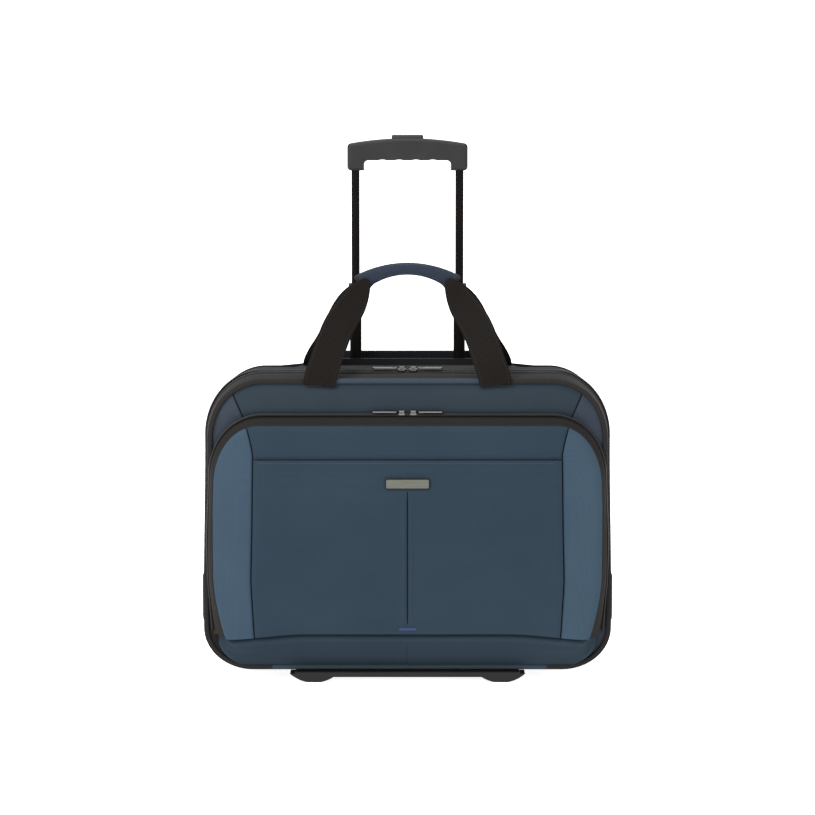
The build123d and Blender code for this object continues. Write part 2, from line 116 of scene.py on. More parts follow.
class Nodes:
    """A small helper for building a material's node tree."""

    def __init__(self, name, strip=False):
        self.material = bpy.data.materials.new(name)
        self.material.use_nodes = True
        self.tree = self.material.node_tree
        self.shader = self.tree.nodes["Principled BSDF"]
        if strip:
            self.place = self.node("ShaderNodeAttribute", attribute_name="weave").outputs["Vector"]
        else:
            self.place = self.node("ShaderNodeTexCoord").outputs["Object"]

    def node(self, kind, **values):
        made = self.tree.nodes.new(kind)
        for key, value in values.items():
            setattr(made, key, value)
        return made

    def link(self, source, socket):
        self.tree.links.new(source, socket)

    def set(self, **values):
        """Constant values, set on the shader's own sockets."""
        for key, value in values.items():
            self.shader.inputs[key.replace("_", " ")].default_value = value

    def noise(self, scale, detail=3.0, stretch=(1, 1, 1)):
        """Noise about 1/scale metres across."""
        mapping = self.node("ShaderNodeMapping")
        mapping.inputs["Scale"].default_value = stretch
        self.link(self.place, mapping.inputs["Vector"])
        made = self.node("ShaderNodeTexNoise")
        made.inputs["Scale"].default_value = scale
        made.inputs["Detail"].default_value = detail
        self.link(mapping.outputs["Vector"], made.inputs["Vector"])
        return made.outputs["Fac"]

    def bands(self, direction, pitch, distortion=0.4):
        """Bands across one axis, one each pitch metres."""
        made = self.node("ShaderNodeTexWave", wave_type="BANDS", bands_direction=direction)
        made.inputs["Scale"].default_value = math.pi / 10 / pitch
        made.inputs["Distortion"].default_value = distortion
        made.inputs["Detail"].default_value = 1.0
        made.inputs["Detail Scale"].default_value = 2.0
        self.link(self.place, made.inputs["Vector"])
        return made.outputs["Fac"]

    def math(self, operation, a, b):
        made = self.node("ShaderNodeMath", operation=operation)
        for socket, value in zip(made.inputs, (a, b)):
            if isinstance(value, (int, float)):
                socket.default_value = value
            else:
                self.link(value, socket)
        return made.outputs[0]

    def ramp(self, source, low, high, start=0.3, end=0.7):
        made = self.node("ShaderNodeValToRGB")
        made.color_ramp.elements[0].position = start
        made.color_ramp.elements[1].position = end
        made.color_ramp.elements[0].color = (*low, 1)
        made.color_ramp.elements[1].color = (*high, 1)
        self.link(source, made.inputs["Fac"])
        return made.outputs["Color"]

    def multiplied(self, a, b):
        made = self.node("ShaderNodeMix", data_type="RGBA", blend_type="MULTIPLY")
        made.inputs["Factor"].default_value = 1.0
        self.link(a, made.inputs["A"])
        self.link(b, made.inputs["B"])
        return made.outputs["Result"]

    def weighted(self, a, share_a, b, share_b):
        return self.math("ADD", self.math("MULTIPLY", a, share_a), self.math("MULTIPLY", b, share_b))

    def threads(self, weave, fleck, colour, contrast):
        """Darker and lighter threads of a colour, from a weave and its fleck."""
        return self.ramp(self.math("MULTIPLY", self.math("ADD", weave, fleck), 0.5),
                         shade(colour, 1 - contrast), shade(colour, 1 + contrast), 0.25, 0.75)

    def uneven(self, source, span, rough):
        """Roughness that varies by span about a middle value."""
        varied = self.math("ADD", self.math("MULTIPLY", source, span), rough - span / 2)
        self.link(varied, self.shader.inputs["Roughness"])

    def bump(self, source, strength, distance):
        made = self.node("ShaderNodeBump")
        made.inputs["Strength"].default_value = strength
        made.inputs["Distance"].default_value = distance
        self.link(source, made.inputs["Height"])
        self.link(made.outputs["Normal"], self.shader.inputs["Normal"])


def shade(colour, factor):
    """A colour made darker or lighter."""
    return tuple(min(1.0, c * factor) for c in colour)


def fabric(name, colour, rib=1.05 * MM, contrast=0.12, sheen=0.03, rough=0.85, relief=0.3):
    """A woven cloth: ribs across the height, threads along both other axes, and slow fading."""
    n = Nodes(name)
    ribs = n.bands("Z", rib)
    threads = n.math("MULTIPLY", n.bands("X", rib * 0.5), n.bands("Y", rib * 0.55))
    weave = n.weighted(ribs, 0.65, threads, 0.35)
    fleck = n.noise(900, 2.0, (1, 1, 2.2))
    cloth = n.threads(weave, fleck, colour, contrast)
    fading = n.ramp(n.noise(9, 4.0), (0.86, 0.87, 0.9), (1.0, 1.0, 1.0))
    n.link(n.multiplied(cloth, fading), n.shader.inputs["Base Color"])
    n.set(Roughness=rough, Sheen_Weight=sheen, Sheen_Roughness=0.45, Specular_IOR_Level=0.05)
    n.bump(n.math("ADD", weave, n.math("MULTIPLY", fleck, 0.5)), relief, 0.22 * MM)
    return n.material


def strip(name, colour, rib=1.2 * MM, pick=0.9 * MM, contrast=0.3, rough=0.75):
    """Woven tape or webbing whose ribs follow its own length, with finer picks across it."""
    n = Nodes(name, strip=True)
    ribs = n.bands("X", rib, 0.1)
    picks = n.bands("Y", pick, 0.2)
    weave = n.weighted(ribs, 0.6, picks, 0.4)
    cloth = n.threads(weave, n.noise(700, 2.0), colour, contrast)
    n.link(cloth, n.shader.inputs["Base Color"])
    n.set(Roughness=rough, Sheen_Weight=0.01, Sheen_Roughness=0.4, Specular_IOR_Level=0.05)
    n.bump(weave, 0.6, 0.3 * MM)
    return n.material


def moulded(name, colour, rough=0.5, grain=1500, depth=0.12, gloss=0.3):
    """Moulded plastic with a fine spark-eroded grain and slightly uneven gloss."""
    n = Nodes(name)
    patches = n.noise(35, 3.0)
    n.link(n.ramp(patches, shade(colour, 0.9), shade(colour, 1.12)), n.shader.inputs["Base Color"])
    n.uneven(patches, 0.16, rough)
    n.set(Specular_IOR_Level=gloss)
    n.bump(n.noise(grain, 2.0), depth, 0.3 * MM)
    return n.material


def metal(name, colour, rough=0.3, stretch=(0.03, 1, 1), metallic=1.0, gloss=0.5):
    """Metal with fine brushing along one axis."""
    n = Nodes(name)
    lines = n.noise(1800, 2.0, stretch)
    n.link(n.ramp(lines, shade(colour, 0.85), shade(colour, 1.1)), n.shader.inputs["Base Color"])
    n.uneven(lines, 0.2, rough)
    n.set(Metallic=metallic, Specular_IOR_Level=gloss)
    n.bump(lines, 0.15, 0.05 * MM)
    return n.material


NAVY = (0.0135, 0.0228, 0.0325)
FLOOR = moulded("floor_paint", (0.96, 0.96, 0.96), 0.9, 60, 0.0, 0.0)
FLOOR_GLOW = FLOOR.node_tree.nodes["Principled BSDF"].inputs
FLOOR_GLOW["Emission Color"].default_value = (1, 1, 1, 1)
FLOOR_GLOW["Emission Strength"].default_value = 0.9
CLOTH_FRONT = fabric("cloth_front", NAVY)
CLOTH_SIDE = fabric("cloth_side", shade(NAVY, 1.72))
CLOTH_UPPER = fabric("cloth_upper", (0.0145, 0.0212, 0.0278))
CLOTH_FLANK = fabric("cloth_flank", (0.0205, 0.0270, 0.0365))
CLOTH_LOW = fabric("cloth_low", shade(NAVY, 0.86))
CLOTH_GUSSET = fabric("cloth_gusset", (0.0098, 0.0115, 0.0140))
CLOTH_BLUE = fabric("cloth_blue", (0.0165, 0.0215, 0.0390))
CLOTH_WRAP = fabric("cloth_wrap", (0.0132, 0.0178, 0.0275), rib=0.9 * MM)
CLOTH_BLACK = fabric("cloth_black", (0.0105, 0.0094, 0.0087), rib=1.0 * MM)
# Painted shadow: a near-black cloth laid in seam grooves, in the slip pocket's pleat and along its top
# edge.
SEAM_SHADOW = fabric("seam_shadow", (0.0015, 0.003, 0.006), rib=0.8 * MM)
LINING = fabric("lining", (0.080, 0.084, 0.092), rib=2.2 * MM)
TAPE = strip("tape", (0.0095, 0.0090, 0.0088), rib=1.6 * MM)
BINDING_BLACK = strip("binding_black", (0.0118, 0.0112, 0.0108), rib=0.8 * MM)
BINDING_BLUE = strip("binding_blue", (0.0200, 0.0290, 0.0385), rib=0.8 * MM)
WEBBING = strip("webbing_cloth", (0.0046, 0.0037, 0.0031), rib=2.6 * MM, pick=1.3 * MM)
THREAD = fabric("thread", (0.045, 0.058, 0.074), rib=0.5 * MM)
THREAD_BLUE = fabric("thread_blue", (0.030, 0.045, 0.110), rib=0.5 * MM)
THREAD_BLACK = fabric("thread_black", (0.015, 0.014, 0.013), rib=0.5 * MM)
GRIP = moulded("grip_plastic", (0.0128, 0.0120, 0.0124), 0.5, gloss=0.12)
BUTTON = moulded("button_plastic", (0.0140, 0.0145, 0.0150), 0.45, gloss=0.2)
BLACK_PLASTIC = moulded("black_plastic", (0.0065, 0.0060, 0.0058), 0.5, gloss=0.15)
HUB = moulded("hub_plastic", (0.035, 0.035, 0.038), 0.4)
RUBBER = moulded("rubber", (0.008, 0.008, 0.008), 0.75, 900, 0.25, 0.15)
COIL = moulded("coil_plastic", (0.012, 0.0115, 0.0115), 0.4, gloss=0.2)
TUBE = metal("tube_enamel", (0.0034, 0.0028, 0.0024), 0.5, (1, 1, 0.03), 0.0, 0.03)
ZIP_METAL = metal("zip_metal", (0.105, 0.103, 0.098), 0.24)
BADGE = metal("badge_metal", (0.085, 0.087, 0.073), 0.40)
STEEL = metal("steel", (0.55, 0.55, 0.55), 0.3)

SLOT_MATERIALS = {
    "black_plastic": BLACK_PLASTIC, "grip_plastic": GRIP, "button_plastic": BUTTON,
    "tube_metal": TUBE, "front_fabric": CLOTH_FRONT, "gusset_fabric": CLOTH_GUSSET,
    "band_fabric": CLOTH_BLACK, "guard_fabric": CLOTH_BLUE, "wrap_fabric": CLOTH_WRAP,
    "lining_fabric": LINING, "webbing": CLOTH_BLACK, "zip_tape": CLOTH_BLACK, "zip_metal": ZIP_METAL,
    "badge_metal": BADGE, "steel": STEEL, "hub_plastic": HUB, "wheel_rubber": RUBBER,
}


def paint_cad():
    """Gives every CAD node the material of its slot."""
    for part in frame["record"]["subparts"]:
        node = NODES[part["node"]]
        node.data.materials.clear()
        node.data.materials.append(SLOT_MATERIALS[part["material_slot"]])


# ---------------------------------------------------------------- mesh helpers, in millimetres

def mm_box(node):
    """A node's lowest and highest corners."""
    low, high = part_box(node)
    return low / MM, high / MM


def clamp(value, low=0.0, high=1.0):
    """The value, kept between two limits."""
    return max(low, min(high, value))


def mix(a, b, t):
    """The point or number a share t of the way from a to b."""
    if isinstance(a, (int, float)):
        return a + (b - a) * t
    return tuple(p + (q - p) * t for p, q in zip(a, b))


def spaced(start, end, count):
    """count numbers from start towards end, without end."""
    return [mix(start, end, k / count) for k in range(count)]


def evenly(start, end, count):
    """count + 1 numbers from start to end, with both."""
    return spaced(start, end, count) + [end]


def both_ways(right):
    """Positions from 0 to the right, and the same to the left."""
    return [-x for x in reversed(right[1:])] + right


def ripple(x, y, z, size, seed=0.0):
    """Smooth unevenness from -1 to 1, about size millimetres across."""
    return noise.noise(Vector((x / size + seed, y / size, z / size)))


class Shape:
    """Points and faces, each face with a paint number, and for strips where on the weave a point is."""

    def __init__(self):
        self.points, self.faces, self.paint, self.weave = [], [], [], []

    def grid(self, rows, paint=0, loop=False, weave=None):
        """Faces between rows of points. loop joins the end of each row to its start."""
        first = len(self.points)
        width = len(rows[0])
        for row in rows:
            self.points.extend(row)
        if weave:
            for row in weave:
                self.weave.extend(row)
        for j in range(len(rows) - 1):
            for i in range(width if loop else width - 1):
                k = (i + 1) % width
                number = paint(i, j) if callable(paint) else paint
                if number is None:
                    continue
                low, high = first + j * width, first + (j + 1) * width
                self.faces.append((low + i, low + k, high + k, high + i))
                self.paint.append(number)
        return first

    def cap(self, first, count, paint=0):
        self.faces.append(tuple(range(first, first + count)))
        self.paint.append(paint)

    def tube(self, path, section, paint=0, closed=False):
        """A closed section carried along a path of (point, side, up) frames.
        section is a list of (a, b) pairs, or gives one for each frame's number."""
        rows, weave = [], []
        run = 0.0
        for i, (point, side, up) in enumerate(path):
            if i:
                run += (Vector(point) - Vector(path[i - 1][0])).length
            loop = section(i) if callable(section) else section
            rows.append([tuple(p + a * s + b * u for p, s, u in zip(point, side, up))
                         for a, b in loop])
            weave.append([(a * MM, run * MM, 0.0) for a, _ in loop])
        if closed:
            rows.append(rows[0])
            weave.append([(a, run * MM + 0.004, 0.0) for a, _, _ in weave[0]])
        first = self.grid(rows, paint, loop=True, weave=weave)
        width = len(rows[0])
        if not closed:
            number = paint(0, 0) if callable(paint) else paint
            self.cap(first, width, number)
            self.cap(first + (len(rows) - 1) * width, width, number)

    def stitches(self, path, pitch=3.0, length=2.0, width=0.32, rise=0.35, paint=0):
        """Raised thread stitches along a path of (point, outward) pairs."""
        left = pitch / 2
        for (a, out), (b, _) in zip(path, path[1:]):
            a, b, out = Vector(a), Vector(b), Vector(out)
            run = (b - a).length
            if run < 1e-6:
                continue
            along = (b - a) / run
            side = along.cross(out).normalized() * width
            while left < run:
                middle = a + along * left
                rows = []
                for t, swell in ((-1, 0.25), (-0.55, 1.0), (0.55, 1.0), (1, 0.25)):
                    centre = middle + along * (t * length / 2)
                    top = out * (rise * swell)
                    rows.append([tuple(centre + side * swell), tuple(centre + side * 0.6 + top),
                                 tuple(centre - side * 0.6 + top), tuple(centre - side * swell),
                                 tuple(centre - out * 0.15)])
                first = self.grid(rows, paint, loop=True,
                                  weave=[[(0, 0, 0)] * 5] * 4 if self.weave else None)
                self.cap(first, 5, paint)
                self.cap(first + 15, 5, paint)
                left += pitch
            left -= run


def freeze(obj):
    """Keeps what an object's modifiers make as its mesh."""
    graph = bpy.context.evaluated_depsgraph_get()
    made = bpy.data.meshes.new_from_object(obj.evaluated_get(graph))
    obj.modifiers.clear()
    obj.data = made


CLOTH = []


def piece(name, shape, materials, body, replaced=(), wall=0.0, crease=50.0, firm=False):
    """Pieces of the case's cloth, which aren't firm, are moved by sit() at the end."""
    mesh = bpy.data.meshes.new(name)
    mesh.from_pydata([Vector(p) * MM for p in shape.points], [], shape.faces)
    mesh.polygons.foreach_set("material_index", shape.paint)
    if shape.weave:
        weave = mesh.attributes.new("weave", "FLOAT_VECTOR", "POINT")
        weave.data.foreach_set("vector", [c for place in shape.weave for c in place])
    bm = bmesh.new()
    bm.from_mesh(mesh)
    bmesh.ops.remove_doubles(bm, verts=bm.verts, dist=0.01 * MM)
    bmesh.ops.delete(bm, geom=[v for v in bm.verts if not v.link_faces], context="VERTS")
    if not wall:
        bmesh.ops.recalc_face_normals(bm, faces=bm.faces)
    bm.to_mesh(mesh)
    bm.free()
    obj = bpy.data.objects.new(name, mesh)
    bpy.context.scene.collection.objects.link(obj)
    for material in materials:
        obj.data.materials.append(material)
    if wall:
        solid = obj.modifiers.new("wall", "SOLIDIFY")
        solid.thickness = wall * MM
        solid.offset = -1.0
        freeze(obj)
    obj.data.shade_smooth()
    obj.data.set_sharp_from_angle(angle=math.radians(crease))
    if isinstance(body, tuple):
        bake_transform(obj)
    else:
        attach(obj, body)
    if not firm and body in ("case", "front_half", "pocket_front"):
        CLOTH.append(obj)
    if replaced:
        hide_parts(*replaced)
    return obj


def sewn(name, paths, thread, body, slot, look=(), firm=False):
    """A piece of raised stitches along paths. look holds their pitch, length, width and rise."""
    shape = Shape()
    for path in paths:
        shape.stitches(path, *look)
    return piece(name, shape, [thread], body, firm=firm)


def closed_pad(skin, base, ends=(0, -1)):
    """A closed form between two grids of points of the same size."""
    shape = Shape()
    shape.grid(skin)
    shape.grid([row[::-1] for row in base])
    for end, turn in ((0, -1), (-1, 1)):
        shape.grid([skin[end][::turn], base[end][::turn]])
    for end in ends:
        shape.grid([[row[end] for row in skin], [row[end] for row in base]])
    return shape


def settle(obj, held, pressure, cap, frames=20):
    """A closed form swells as pressurised cloth, and keeps the points for which held is true.
    No point moves further than cap."""
    scene = bpy.context.scene
    fixed = [v.index for v in obj.data.vertices if held(v.co / MM)]
    group = obj.vertex_groups.new(name="held")
    group.add(fixed, 1.0, "REPLACE")
    cloth = obj.modifiers.new("cloth", "CLOTH")
    cloth.settings.quality = 5
    cloth.settings.mass = 0.25
    cloth.settings.tension_stiffness = 12
    cloth.settings.compression_stiffness = 12
    cloth.settings.bending_stiffness = 0.6
    cloth.settings.use_pressure = True
    cloth.settings.uniform_pressure_force = pressure
    cloth.settings.vertex_group_mass = "held"
    cloth.settings.effector_weights.gravity = 0.0
    cloth.point_cache.frame_start = 1
    cloth.point_cache.frame_end = frames
    for number in range(1, frames + 1):
        scene.frame_set(number)
    made = obj.evaluated_get(bpy.context.evaluated_depsgraph_get()).data
    moved = []
    for vertex, now in zip(obj.data.vertices, made.vertices):
        step = now.co - vertex.co
        if step.length > cap * MM:
            step *= cap * MM / step.length
        moved.append(vertex.co + step)
    obj.modifiers.clear()
    for vertex, place in zip(obj.data.vertices, moved):
        vertex.co = place
    obj.vertex_groups.clear()
    scene.frame_set(1)


def smooth(obj):
    """One level of subdivision, kept."""
    modifier = obj.modifiers.new("smooth", "SUBSURF")
    modifier.levels = modifier.render_levels = 1
    freeze(obj)
    obj.data.shade_smooth()


# ---------------------------------------------------------------- outlines, across x and z

def edge_x(z, half, low, high, top, foot):
    """Half the width, at a height, of a rectangle with elliptical corners, each (across, up)."""
    for (across, up), past in ((top, z - high + top[1]), (foot, low + foot[1] - z)):
        if past > 0:
            return half - across + across * math.sqrt(max(0.0, 1 - (past / up) ** 2))
    return half


def narrowed(half, radius, past):
    """Half the width of a rounded outline, a distance past the start of its corner."""
    return half if past <= 0 else half - radius + math.sqrt(max(0.0, radius ** 2 - past ** 2))


def levels(low, high, top, foot, step):
    """Heights up a rounded outline, close together at its corners."""
    count, down = 22, 20 if foot[1] else 0
    made = [low + foot[1] * (1 - math.cos(math.pi / 2 * k / down)) for k in range(down)]
    made += spaced(low + foot[1], high - top[1], max(2, round((high - low - top[1] - foot[1]) / step)))
    made += [high - top[1] + top[1] * math.sin(math.pi / 2 * k / count) for k in range(count + 1)]
    return made


def polyline(corners, step):
    """Points along straight runs between corners, without the last one."""
    made = []
    for a, b in zip(corners, corners[1:]):
        made += [mix(a, b, k) for k in spaced(0.0, 1.0, max(1, round(math.dist(a, b) / step)))]
    return made


def arc(centre, radii, start, end, step):
    """Points round an ellipse between two angles, without the last one."""
    count = max(6, round(max(radii) * abs(end - start) / step))
    return [(centre[0] + radii[0] * math.cos(a), centre[1] + radii[1] * math.sin(a))
            for a in spaced(start, end, count)]


def with_normals(points, closed=True):
    """(x, z, outward x, outward z) for points that go round anticlockwise, seen from the front."""
    made = []
    count = len(points)
    for i, (x, z) in enumerate(points):
        if closed:
            (ax, az), (bx, bz) = points[i - 1], points[(i + 1) % count]
        else:
            (ax, az), (bx, bz) = points[max(0, i - 1)], points[min(count - 1, i + 1)]
        run = math.hypot(bx - ax, bz - az)
        made.append((x, z, (bz - az) / run, -(bx - ax) / run))
    return made


def mirrored(right):
    """A whole outline from its right half, which goes from the bottom middle to the top middle."""
    return right + [(-x, z) for x, z in reversed(right[1:-1])]


def rounded(half, low, high, step=4.0, hump=None):
    """Stations round the case, from the middle of its bottom. hump is a raised middle's (half, top)."""
    quarter = math.pi / 2
    (top_x, top_z), (foot_x, foot_z) = TOP_CORNER, FOOT_CORNER
    right = polyline([(0.0, low), (half - foot_x, low)], step)
    right += arc((half - foot_x, low + foot_z), FOOT_CORNER, -quarter, 0, 2.5)
    right += polyline([(half, low + foot_z), (half, high - top_z)], step)
    right += arc((half - top_x, high - top_z), TOP_CORNER, 0, quarter, step)
    if hump:
        wide, top = hump
        right += polyline([(half - top_x, high), (wide + 1.5, high), (wide, high + 1.5)], step)
        right += polyline([(wide, high + 1.5), (wide, top - HUMP_RADIUS)], step)
        right += arc((wide - HUMP_RADIUS, top - HUMP_RADIUS), (HUMP_RADIUS, HUMP_RADIUS), 0, quarter, 1.5)
        right += polyline([(wide - HUMP_RADIUS, top), (0.0, top)], step) + [(0.0, top)]
    else:
        right += polyline([(half - top_x, high), (CUP_X, high), (0.0, high)], step) + [(0.0, high)]
    return with_normals(mirrored(right))


def above(stations, height):
    """The stretch of an outline above a height, from its right end round to its left."""
    return [s for s in stations if s[1] >= height - 0.01]


def ring_frames(stations, y, outset=0.0):
    """Frames for Shape.tube along an outline: side is outward and up is to the back."""
    return [((x + nx * outset, y, z + nz * outset), (nx, 0.0, nz), (0.0, 1.0, 0.0))
            for x, z, nx, nz in stations]


def ring_rows(stations, depths, offset):
    """Rows of points round an outline, one at each depth. offset(x, y, z) moves them outward."""
    return [[(x + nx * offset(x, y, z), y, z + nz * offset(x, y, z)) for x, z, nx, nz in stations]
            for y in depths]


def rounded_section(a_low, a_high, b_low, b_high, radius, count=3):
    """A rounded rectangle as (a, b) pairs."""
    made = []
    for a, b, start in ((a_high - radius, b_high - radius, 0), (a_low + radius, b_high - radius, 1),
                        (a_low + radius, b_low + radius, 2), (a_high - radius, b_low + radius, 3)):
        for k in range(count + 1):
            angle = math.pi / 2 * (start + k / count)
            made.append((a + radius * math.cos(angle), b + radius * math.sin(angle)))
    return made


def circle(count, radius=1.0):
    """A circle as (a, b) pairs."""
    return [(radius * math.cos(math.tau * k / count), radius * math.sin(math.tau * k / count))
            for k in range(count)]


def hermite(points, steps):
    """A smooth run through a few points of any length, steps to each stretch."""
    made = []
    count = len(points)
    for i in range(count - 1):
        p0, p1, p2, p3 = (points[clamp(i + k, 0, count - 1)] for k in (-1, 0, 1, 2))
        for k in range(steps):
            t = k / steps
            made.append(tuple(
                0.5 * (2 * b + (c - a) * t + (2 * a - 5 * b + 4 * c - d) * t * t
                       + (3 * b - a - 3 * c + d) * t ** 3)
                for a, b, c, d in zip(p0, p1, p2, p3)))
    return made + [points[-1]]


def puff(distance, width=2.2):
    """How far cloth rises with its distance from a sewn seam: a sharp dip, then full height."""
    return 1.0 - math.exp(-(distance / width) ** 2)


# ---------------------------------------------------------------- places, from the frame

BODY_LOW, BODY_HIGH = mm_box("gusset")
LID_LOW, LID_HIGH = mm_box("lid_panel")
TRAY_LOW, TRAY_HIGH = mm_box("pocket_tray")
SLIP_LOW, SLIP_HIGH = mm_box("slip_pocket")
FACET_HIGH = mm_box("lower_facet")[1]
BACK_LOW, BACK_HIGH = mm_box("back_panel")
SLEEVE_LOW, SLEEVE_HIGH = mm_box("laptop_sleeve")
HOUSING_LOW, HOUSING_HIGH = mm_box("wheel_housing_right")
CUP_LOW, CUP_HIGH = mm_box("trolley_cup")
BADGE_LOW, BADGE_HIGH = mm_box("badge_plate")
WRAP_LOW, WRAP_HIGH = mm_box("handle_wrap")
WRAP_FRONT = WRAP_LOW.y + 0.6
WRAP_CENTRE = 339.5               # the height of the middle of the handle's arch
WRAP_RADIUS = 89.8
WRAP_REACH = math.radians(34.5)   # the wrap's half length, as an angle round that middle
TOP_CORNER = (58.0, 66.0)         # how far the rounded corners reach across and up
FOOT_CORNER = (50.0, 43.0)
HUMP_HALF = 107.0                 # the raised middle of the back
HUMP_RADIUS = 8.0
WELL_WALL = 2.5                   # the cloth ends this far inside the outside of a wheel housing
WELL_X = (HOUSING_LOW.x + WELL_WALL, HOUSING_HIGH.x - WELL_WALL)
WELL_TOP = HOUSING_HIGH.z + 0.5
WELL_Y = HOUSING_LOW.y + 1.0
CUP_X = CUP_HIGH.x + 0.2
ZIP_LOW = 60.0                    # height where the main zip ends
SEAM_DIP = 1.5
SEAM_REACH = 5.5                  # points are close together this far in from a seam,
SEAM_STEPS = (4.0, 2.4, 1.4, 0.7)  # at these distances on both sides of it
BLUE_TOP = 108.0                  # how far out the front binding is blue, along its top
BLUE_FOOT = 144.0                 # and along its bottom
FLANK_LOW = 112.0                 # below this, beside the pocket, the front panel is painted black: painted shadow where it shows between the sloping panel and the binding
ROLL_MIDDLE = 0.88                # how far up the sloping panel its rolled brow is; the brow rows are painted lighter as a painted highlight
BACK_SEAM_X = 84.0                # the sewn channels of the back
BACK_SEAMS_Z = (118.0, 212.0, 300.0)
SLEEVE_CORNER = 14.0
GUARD_CORNER = 12.0
STRAP_THICK = 2.3
STRAP_BEND = ("front_half", "front_handle", (0, -0.076, 0.312), (0, -0.076, 0.340))
TAB_COLUMNS = (-1, -0.97, -0.8, -0.4, 0, 0.4, 0.8, 0.97, 1)

BODY_RING = rounded(BODY_HIGH.x, BODY_LOW.z, BODY_HIGH.z)
LID_RING = rounded(LID_HIGH.x, LID_LOW.z, LID_HIGH.z)
BACK_RING = rounded(BODY_HIGH.x, BODY_LOW.z, BODY_HIGH.z, hump=(HUMP_HALF, BACK_HIGH.z))


def rise(value):
    """A smooth step from 0 to 1."""
    value = clamp(value)
    return value * value * (3 - 2 * value)


def sit(x, y, z):
    """Where a point of the case's cloth comes to lie: the sides lean in as they go up, the top
    slumps at its back corners and its front edge, and the pocket's lower edge droops at its ends."""
    lean = mix(5.0, 2.4, clamp((y - LID_LOW.y) / 41)) * rise((z - 90) / 160)
    slump = 5.2 * rise((y + 25) / 60) * rise((abs(x) - 104) / 22) * clamp((z - 250) / 60)
    droop = 6.0 * rise((abs(x) - 105) / 85) * clamp((z - 18) / 34) * clamp((112 - z) / 50)
    droop *= clamp((-84 - y) / 8)
    nod = 2.4 * clamp((-38 - y) / 30) * clamp((z - 292) / 24)
    return x * (1 - lean / LID_HIGH.x), y, z - slump - droop - nod


def lid_edge(z):
    """Half the width of the front half at a height."""
    return edge_x(z, LID_HIGH.x, LID_LOW.z, LID_HIGH.z, TOP_CORNER, FOOT_CORNER)


def inside(x, z, half, high, top):
    """About how far a point is inside the sides, top and top corners of an outline."""
    across, up = (abs(x) - half + top[0]) / top[0], (z - high + top[1]) / top[1]
    if across > 0 and up > 0:
        return (1 - math.hypot(across, up)) * (top[0] + top[1]) / 2
    return min(half - abs(x), high - z)


def seamed(edge, seam, middle, side):
    """Positions across a panel with a seam at each side, closer together at the seams."""
    room = min(1.0, (edge - seam) / 8.0)
    right = evenly(0.0, seam - SEAM_REACH, middle) + [seam - d for d in SEAM_STEPS]
    right += [seam] + [seam + d * room for d in reversed(SEAM_STEPS)]
    return both_ways(right + evenly(seam + 5.0 * room, edge, side))


def seam_paint(middle, side, centre, flank, dark, rooms):
    """Which paint a face of a seamed grid has: the middle, the sides, or dark paint along the seam itself,
    as painted shadow in its groove.
    rooms holds each row's distance from the seam out to the edge, where the seam ends."""
    seam = middle + len(SEAM_STEPS)
    half = seam + len(SEAM_STEPS) + 2 + side

    def pick(i, j):
        place = i - half if i >= half else half - 1 - i
        if rooms[j] < 1.6 or place < seam:
            return centre
        # The seam's two middle columns take the dark paint: painted shadow in the seam's groove.
        return dark if place <= seam + 1 else flank
    return pick


# ---------------------------------------------------------------- front half

def lid_seam(z):
    """Where the front panel's slanting seam is, out from the middle."""
    return min(TRAY_HIGH.x - 29.0 + 0.43 * (z - TRAY_HIGH.z), lid_edge(z) - 1.5)


def front_panel():
    """The padded front panel, crowned above the pocket, with a slanting seam at each side."""
    middle, side = 44, 6
    rows, rooms = [], []
    crown_low = TRAY_HIGH.z
    for z in levels(LID_LOW.z, LID_HIGH.z, TOP_CORNER, FOOT_CORNER, 4.5):
        edge = lid_edge(z)
        seam = lid_seam(z)
        crown = clamp((z - crown_low + 6) / 12)
        row = []
        for x in seamed(edge - 0.8, seam, middle, side):
            border = inside(x, z, LID_HIGH.x, LID_HIGH.z, TOP_CORNER)
            height = crown * (3.4 + 0.5 * ripple(x, 0, z, 34, 4.0)) * puff(max(0.0, border - 3.0), 6.0)
            dip = SEAM_DIP * (1 - puff(abs(x) - seam, 1.2)) * clamp((z - crown_low + 8) / 4)
            row.append((x, LID_LOW.y - height + dip * clamp((border - 3) / 3), z))
        rows.append(row)
        rooms.append(edge - 0.8 - seam)
    # Dark seam_shadow cloth along each slanting seam is painted shadow in its groove.
    across = seam_paint(middle, side, 0, 1, 2, rooms)

    def paint(i, j):
        x, _, z = rows[j][i]
        # Below FLANK_LOW, beside the pocket, black cloth is painted shadow where it shows between the
        # sloping panel and the binding.
        return 3 if z < FLANK_LOW and abs(x) > side_reach(z) - 9 else across(i, j)
    shape = Shape()
    shape.grid(rows, paint)
    panel = piece("front_panel", shape, [CLOTH_UPPER, CLOTH_FLANK, SEAM_SHADOW, CLOTH_BLACK], "front_half",
                  ["lid_panel"], wall=2.6)


def front_binding():
    """The tape that covers the front panel's edge, blue where it crosses the middle."""
    def paint(_, j):
        x, z = LID_RING[j % len(LID_RING)][:2]
        blue = BLUE_TOP if z > 100 else BLUE_FOOT
        straight = z > LID_HIGH.z - 3 or z < LID_LOW.z + 3
        return 1 if straight and abs(x) < blue else 0
    section = rounded_section(-4.2, 1.5, -2.9, 2.4, 1.9)
    shape = Shape()
    shape.tube(ring_frames(LID_RING, LID_LOW.y), section, paint, closed=True)
    piece("front_edge_binding", shape, [BINDING_BLACK, BINDING_BLUE], "front_half",
          ["front_binding"])
    path = [((x - nx * 3.2, LID_LOW.y - 2.75, z - nz * 3.2), (0, -1, 0)) for x, z, nx, nz in LID_RING]
    sewn("front_binding_stitches", [path + path[:1]], THREAD_BLACK, "front_half", "band_fabric")


def bulge_of(low, high, amount, wrinkle, seed):
    """An outward offset for a band of cloth: full in the middle of its depth, and a little uneven."""
    def offset(x, y, z):
        t = clamp((y - low) / (high - low))
        fade = math.sin(math.pi * t)
        return fade * (amount + wrinkle * ripple(x, y * 2.2, z, 60, seed))
    return offset


